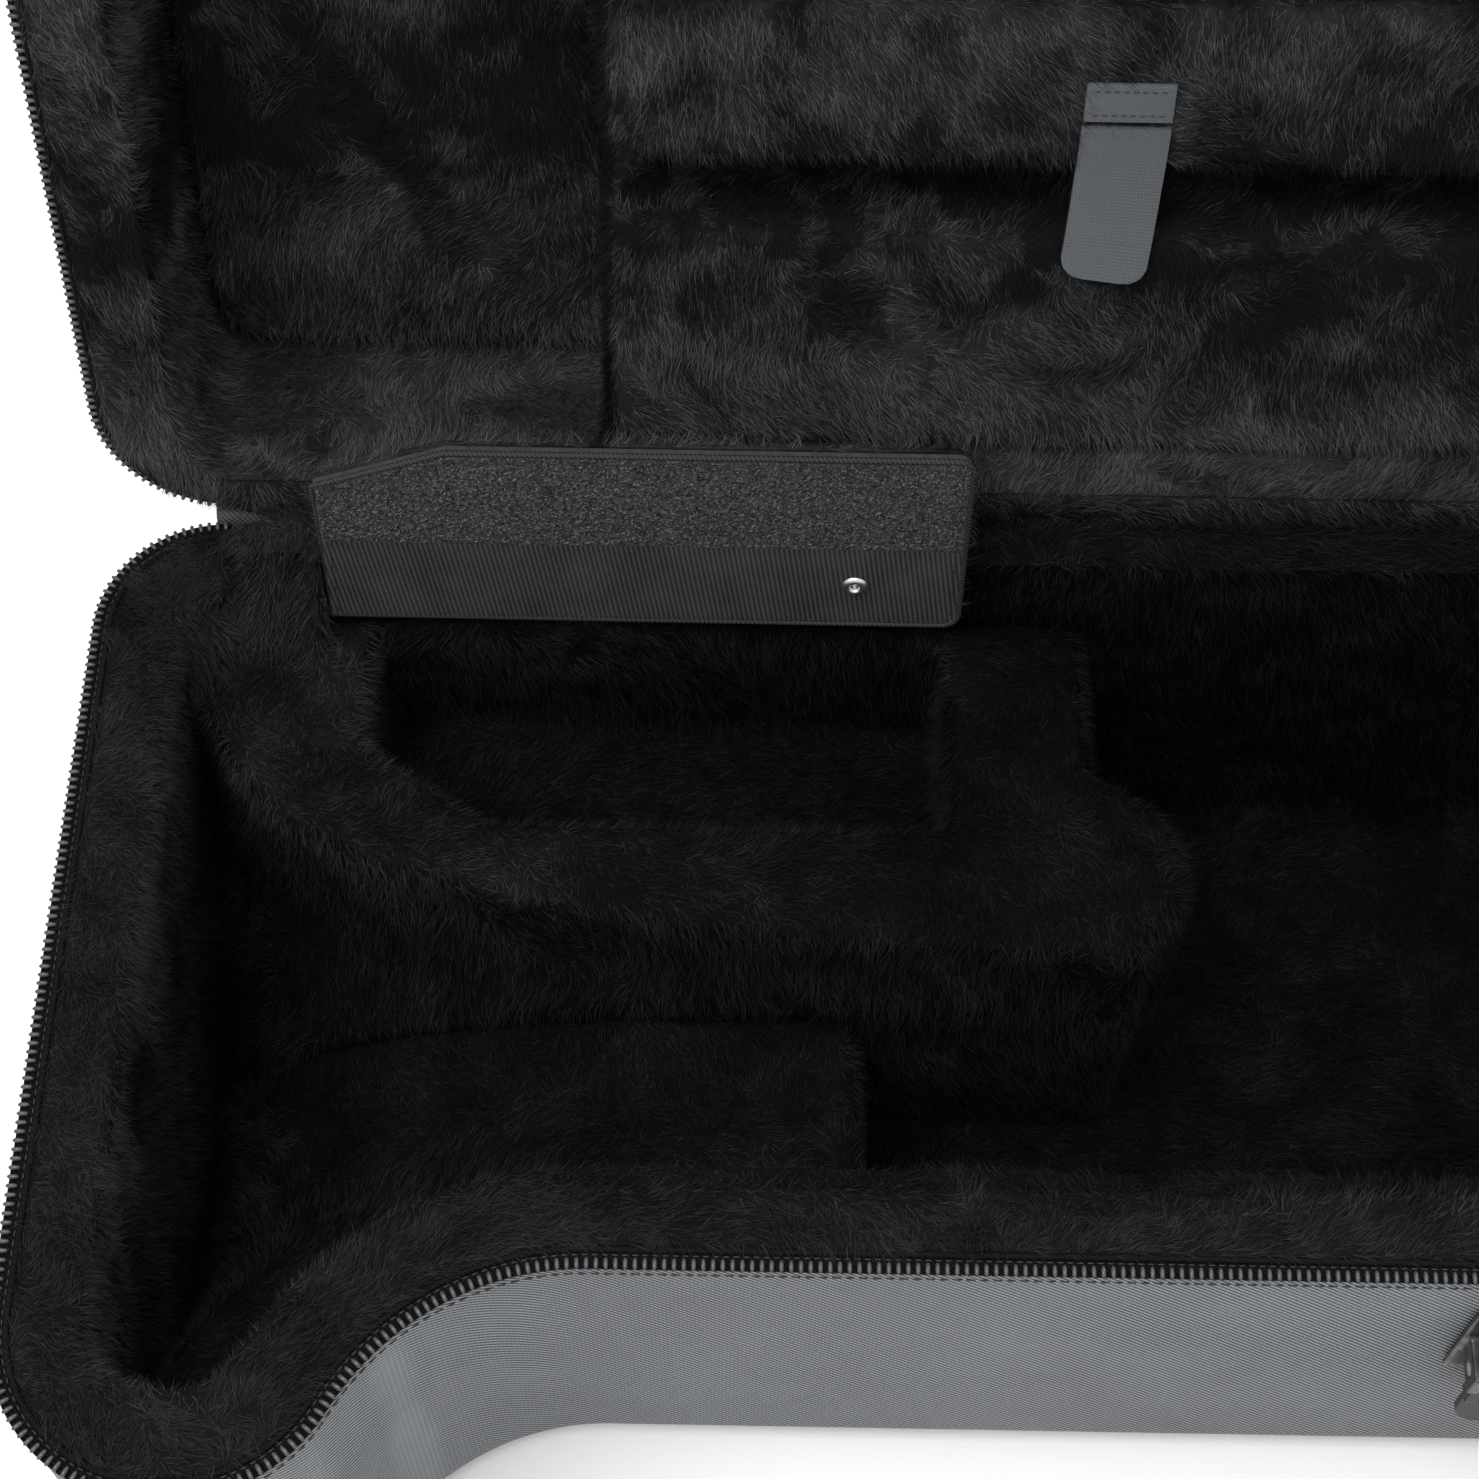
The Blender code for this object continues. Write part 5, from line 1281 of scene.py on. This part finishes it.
def pocket_bag():
    """The pocket's cloth, stood off the lid and a little creased, with its piping and stitches."""
    profile = [(margin, POCKET_BACK + rise) for margin, rise in POCKET_EDGE_LINE]
    profile.append((POCKET_FLAT, POCKET_FACE - POCKET_DISH))
    profile += [(POCKET_FLAT + POCKET_INNER * k / POCKET_STEPS, POCKET_FACE)
                for k in range(1, POCKET_STEPS + 1)]
    points = []
    for margin, height in profile:
        for x, y in pocket_ring(margin):
            crease = noise.noise(Vector((x * 22, y * 30, height * 90))) * POCKET_CREASE
            free = min(1.0, margin / 0.02)
            points.append((x, y, height + crease * free * (1.0 if margin < 0.03 else 0.6)))
    count = len(pocket_ring(0.0))
    faces = bar_faces(len(profile), count)
    bag = crisp(tidy_faces(new_object("pocket_bag", on_open_lid(points), faces, NYLON)))
    settle(bag, "lid", "nylon", "pocket")
    ring = [(x, y, POCKET_BACK + POCKET_PIPING_RISE) for x, y in pocket_ring(POCKET_PIPING_MARGIN)]
    welt = tube("pocket_piping", on_open_lid(ring), POCKET_PIPING_RADIUS, 8, SEAM, True)
    settle(welt, "lid", "nylon")
    frames = ring_frames(pocket_ring(POCKET_STITCH_MARGIN), POCKET_BACK + POCKET_STITCH_RISE,
                         POCKET_STITCH_PITCH, on_open_lid)
    strew("pocket_stitches", POCKET_STITCH, frames, THREAD, "lid", "nylon")


POCKET_ZIP_Y = -0.026
POCKET_TAPE_HALF, POCKET_TAPE = (0.178, 0.0125), (0.2810, 0.2821)
FOLD_HALF, FOLD_ASIDE, FOLD_HEIGHT, FOLD_RADIUS, FOLD_STEPS = 0.180, 0.0078, 0.2822, 0.0030, 90
FOLD_WAVER = 0.0003
ZIP_STITCH_HALF, ZIP_STITCH_ASIDE, ZIP_STITCH_HEIGHT, ZIP_STITCH_PITCH = 0.176, 0.0118, 0.2823, 0.0032
POCKET_TEETH, POCKET_TOOTH_PITCH, POCKET_TOOTH = 158, 0.0022, (0.0044, 0.0013, 0.0014)
POCKET_TEETH_LEFT, POCKET_TEETH_Z = -0.1733, 0.2828


def pocket_zip():
    """The zip of the pocket: its tape, the folds and the stitches beside it, and its teeth."""
    half, wide = POCKET_TAPE_HALF
    corners = [(x * half, POCKET_ZIP_Y + y * wide) for x, y in ((-1, -1), (1, -1), (1, 1), (-1, 1))]
    settle(slab("pocket_tape", corners, *POCKET_TAPE, TAPE, on_open_lid), "lid", "tape", "pocket_zip_tape")
    for side, name in ((-1, "low"), (1, "high")):
        line = []
        for k in range(FOLD_STEPS + 1):
            aside = side * FOLD_ASIDE + FOLD_WAVER * noise.noise(Vector((k * 0.3, side, 0)))
            line.append((-FOLD_HALF + 2 * FOLD_HALF * k / FOLD_STEPS, POCKET_ZIP_Y + aside, FOLD_HEIGHT))
        fold = tube("pocket_zip_fold_" + name, on_open_lid(line), FOLD_RADIUS, 10, NYLON, False, 0.5)
        settle(fold, "lid", "nylon")
        y = POCKET_ZIP_Y + side * ZIP_STITCH_ASIDE
        stitch_run("pocket_zip_stitches_" + name, (-ZIP_STITCH_HALF, y, ZIP_STITCH_HEIGHT),
                   (ZIP_STITCH_HALF, y, ZIP_STITCH_HEIGHT), ZIP_STITCH_PITCH, on_open_lid, "lid", "tape")
    places = [Vector((POCKET_TEETH_LEFT + POCKET_TOOTH_PITCH * k, POCKET_ZIP_Y, POCKET_TEETH_Z))
              for k in range(POCKET_TEETH)]
    frames = [frame_at(on_open_lid, place, Vector((0, 1, 0)), Vector((-1, 0, 0))) for place in places]
    strew("pocket_zip_teeth", POCKET_TOOTH, frames, COIL, "lid", "coil", "pocket_zip_coil")


pocket_bag()
pocket_zip()


# Handle
GRIP_MIDDLE = Vector((0.015, -0.095, 0.082))
GRIP_HALF = Vector((0.0394, 0.0066, 0.0133))
GRIP_SIDES, GRIP_STATIONS = 40, 48
GRIP_SQUARE, GRIP_CREASE = 0.75, 0.03
GRIP_TAPER, GRIP_END, GRIP_END_POWER = 0.16, 0.75, 14
GRIP_STITCHES, GRIP_STITCH_Y, GRIP_STITCH_Z, GRIP_STITCH_PITCH = (-0.020, 0.050), -0.1006, 0.0735, 0.0034
FRONTWARD = Vector((0, -1, 0))


def handle_grip():
    """The padded sleeve of the handle, fuller in its middle, with its seam of stitches."""
    points = []
    for station in range(GRIP_STATIONS + 1):
        share = 2 * station / GRIP_STATIONS - 1
        blunt = max(1 - abs(share) ** GRIP_END_POWER, 0.0) ** 0.5
        full = (1 - GRIP_TAPER * share * share) * (blunt * (1 - GRIP_END) + GRIP_END)
        for side in range(GRIP_SIDES):
            angle = 2 * math.pi * side / GRIP_SIDES
            c, d = math.cos(angle), math.sin(angle)
            y = math.copysign(abs(c) ** GRIP_SQUARE, c) * GRIP_HALF.y * full
            z = math.copysign(abs(d) ** GRIP_SQUARE, d) * GRIP_HALF.z * full
            crease = GRIP_CREASE * noise.noise(Vector((share * 9, c * 1.5, d * 1.5)))
            points.append(GRIP_MIDDLE + Vector((share * GRIP_HALF.x, y * (1 + crease), z)))
    faces = bar_faces(GRIP_STATIONS + 1, GRIP_SIDES)
    grip = tidy_faces(new_object("handle_grip", points, faces, NYLON))
    settle(grip, "handle", "nylon", "handle_wrap")
    start, end = (Vector((x, GRIP_STITCH_Y, GRIP_STITCH_Z)) for x in GRIP_STITCHES)
    stitch_run("grip_stitches", start, end, GRIP_STITCH_PITCH, same, "handle", "nylon", FRONTWARD)


DARK_METAL = speckled("dark_metal", (0.07, 0.07, 0.075), 0.38, 0.9, relief=(1400.0, 0.12, 0.0002),
                      specks=(260.0, 4.0, (0.35, (0.035, 0.035, 0.038)), (0.75, (0.12, 0.12, 0.125))))
RUBBER = speckled("rubber", (0.015, 0.015, 0.015), 0.75, relief=(1500.0, 0.3, 0.0002),
                  specks=(120.0, 4.0, (0.3, (0.010, 0.010, 0.010)), (0.7, (0.024, 0.024, 0.024))))
BOARD = speckled("board", (0.03, 0.03, 0.03), 0.8,
                 specks=(300.0, 3.0, (0.3, (0.022, 0.022, 0.022)), (0.7, (0.038, 0.038, 0.038))))

PIN_AT = (-0.0950, 0.1220)
WEB_SIDES = ((-0.0500, -0.0250), (0.0550, 0.0800))
WEB_LOW, WEB_BAR_TOP, WEB_TOP = 0.0750, 0.0890, 0.1140
WEB_HALF, WEB_EDGE = 0.0013, 0.0003
WEB_MIDDLE_Z = 0.080
# radii of the band's corners: at the ends of its legs, at its foot and in the opening for the hand
WEB_BENDS = (0.0002, 0.0150, 0.0150, 0.0002, 0.0002, 0.0070, 0.0070, 0.0002)
WEB_BEND_PIECES = 7
LOOP_RADIUS, LOOP_GAP, LOOP_THICK, LOOP_OVER = 0.0050, 0.0012, 0.0011, 0.55
LOOP_STEP, LOOP_POINTS, LOOP_TURNS = 0.0020, 6, 20
LOOP_FRONT, LOOP_BACK = 0.0160, 0.0060
LOOP_ROWS, LOOP_INSET, LOOP_STITCH_GAP = (0.0995, 0.1065), 0.003, 0.0014


def rounded(points, radii):
    """A closed outline with each of its corners rounded by its own radius."""
    line = []
    for k, (corner, radius) in enumerate(zip(points, radii)):
        corner = Vector(corner)
        back = (Vector(points[k - 1]) - corner).normalized()
        ahead = (Vector(points[(k + 1) % len(points)]) - corner).normalized()
        start, end = corner + back * radius, corner + ahead * radius
        for j in range(WEB_BEND_PIECES + 1):
            t = j / WEB_BEND_PIECES
            line.append(tuple(start * (1 - t) ** 2 + corner * (2 * t * (1 - t)) + end * t ** 2))
    return line


def handle_band():
    """The band of webbing that the grip is sewn round, with rounded corners."""
    (a, b), (c, d) = WEB_SIDES
    corners = [(a, WEB_TOP), (a, WEB_LOW), (d, WEB_LOW), (d, WEB_TOP), (c, WEB_TOP), (c, WEB_BAR_TOP),
               (b, WEB_BAR_TOP), (b, WEB_TOP)]
    points = []
    for margin, depth in ((0.0, -WEB_HALF + WEB_EDGE), (WEB_EDGE, -WEB_HALF), (WEB_EDGE, WEB_HALF),
                          (0.0, WEB_HALF - WEB_EDGE)):
        inset = [(x + margin * (1 if x < (b + c) / 2 else -1) * (1 if k in (0, 1, 2, 3) else -1),
                  z + margin * (1 if z < WEB_MIDDLE_Z else 0)) for k, (x, z) in enumerate(corners)]
        points += [(x, PIN_AT[0] + depth, z) for x, z in rounded(inset, WEB_BENDS)]
    count = len(points) // 4
    faces = []
    for first, second in ((0, 1), (2, 3), (3, 0)):
        faces += [(first * count + k, first * count + (k + 1) % count, second * count + (k + 1) % count,
                   second * count + k) for k in range(count)]
    faces += [tuple(range(count, 2 * count)), tuple(reversed(range(2 * count, 3 * count)))]
    band = tidy_faces(new_object("handle_band", points, faces, BLACK_WEBBING, False))
    settle(band, "handle", "webbing", "handle_webbing")


def handle_loop(number, left, right):
    """One end of the band, folded over its pin and sewn down by two rows of stitches."""
    y, z = PIN_AT
    front, back = y - WEB_HALF - LOOP_GAP, y + WEB_HALF + LOOP_GAP
    profile = [Vector((0, front, WEB_TOP - LOOP_FRONT + LOOP_STEP * k)) for k in range(LOOP_POINTS)]
    over = arc((y, z), LOOP_RADIUS, math.pi + LOOP_OVER, -LOOP_OVER, LOOP_TURNS)
    profile += [Vector((0, *place)) for place in over]
    profile += [Vector((0, back, WEB_TOP - LOOP_BACK - LOOP_STEP * k)) for k in range(LOOP_POINTS)]
    loop = swept_sheet("handle_loop_" + str(number), profile, left, right, LOOP_THICK, BLACK_WEBBING)
    settle(loop, "handle", "webbing")
    at = y - WEB_HALF - LOOP_STITCH_GAP
    for row, height in enumerate(LOOP_ROWS, start=1):
        stitch_run("handle_stitches_{}_{}".format(number, row), (left + LOOP_INSET, at, height),
                   (right - LOOP_INSET, at, height), ANCHOR_PITCH, same, "handle", "webbing", FRONTWARD)


handle_grip()
handle_band()
for number, (left, right) in enumerate(WEB_SIDES, start=1):
    handle_loop(number, left, right)


# Rings, plates and sliders
RING_PLACE, RING_HALF = (0.4615, 0.074, 0.095), (0.019, 0.015)
RING_BEND, RING_WIRE, RING_SIDES = 0.006, 0.0019, 16
PLATE_VOXEL, SLIDER_VOXEL = 0.0006, 0.0004


def strap_ring(side, sign):
    """A ring of round wire, its corners rounded, in the plane across the case."""
    x, (y, z) = sign * RING_PLACE[0], RING_PLACE[1:]
    line = []
    for k, (side_y, side_z) in enumerate(FOUR_CORNERS):
        middle = (y + side_y * (RING_HALF[0] - RING_BEND), z + side_z * (RING_HALF[1] - RING_BEND))
        line += [(x, *place) for place in arc(middle, RING_BEND, math.pi / 2 * k, math.pi / 2 * (k + 1), 8)]
    wire = tube("strap_ring_wire_" + side, line, RING_WIRE, RING_SIDES, STEEL, True, normal=Vector((1, 0, 0)))
    settle(wire, "ring_" + side, "steel", "strap_ring_" + side)


for side, sign in (("left", -1), ("right", 1)):
    replace_soft("ring_tab_" + side, "base", "webbing", CLOTH_VOXEL, BLACK_WEBBING)
    replace_soft("handle_plate_" + side, "base", "dark_metal", PLATE_VOXEL, DARK_METAL)
    strap_ring(side, sign)
for name, slider, pull in (("zip_slider_rear", "slider_rear", "pull_rear"),
                           ("zip_slider_front", "slider_front", "pull_front"),
                           ("pocket_slider", "pocket_slider", "pocket_pull")):
    replace_soft(name, slider, "dark_metal", SLIDER_VOXEL, DARK_METAL)
    replace_soft("pull_of_" + name, pull, "dark_metal", SLIDER_VOXEL, DARK_METAL)

# the CAD pieces that stay in view get a finish of their own
FINISH = {"foam": FOAM, "steel": STEEL, "dark_metal": DARK_METAL, "rubber": RUBBER, "board": BOARD,
          "nylon": NYLON, "webbing": BLACK_WEBBING}
SLOTS = {row["node"]: row["material_slot"] for row in frame["record"]["subparts"]}
for node, piece in NODES.items():
    if not piece.hide_render:
        piece.data.materials.clear()
        piece.data.materials.append(FINISH[SLOTS[node]])


# Floor and light
FLOOR_HALF, SKY_STRENGTH = 6, 0.9
floor = new_object("floor", [(x * FLOOR_HALF, y * FLOOR_HALF, 0) for x, y in FOUR_CORNERS], [(0, 1, 2, 3)],
                   speckled("pale_floor", (0.93, 0.93, 0.93), 0.9), False)

world = bpy.data.worlds.new("world")
world.use_nodes = True
sky = world.node_tree.nodes["Background"]
sky.inputs["Color"].default_value = (1.0, 1.0, 1.0, 1.0)
sky.inputs["Strength"].default_value = SKY_STRENGTH
bpy.context.scene.world = world


def area_light(name, place, target, size, power):
    light = bpy.data.lights.new(name, "AREA")
    light.shape = "RECTANGLE"
    light.size, light.size_y = size
    light.energy = power
    lamp = bpy.data.objects.new(name, light)
    lamp.location = place
    lamp.rotation_euler = (Vector(target) - Vector(place)).to_track_quat("-Z", "Y").to_euler()
    bpy.context.scene.collection.objects.link(lamp)


# name, place, what it points at, size in metres and power in watts
LAMPS = (("key_light", (-0.7, -0.4, 1.9), (-0.2, 0.1, 0.1), (1.2, 0.9), 26.0),
         ("back_light", (0.5, 1.0, 1.7), (-0.2, 0.0, 0.1), (1.4, 0.6), 14.0))
for lamp in LAMPS:
    area_light(*lamp)
bpy.context.scene.view_settings.view_transform = "Standard"
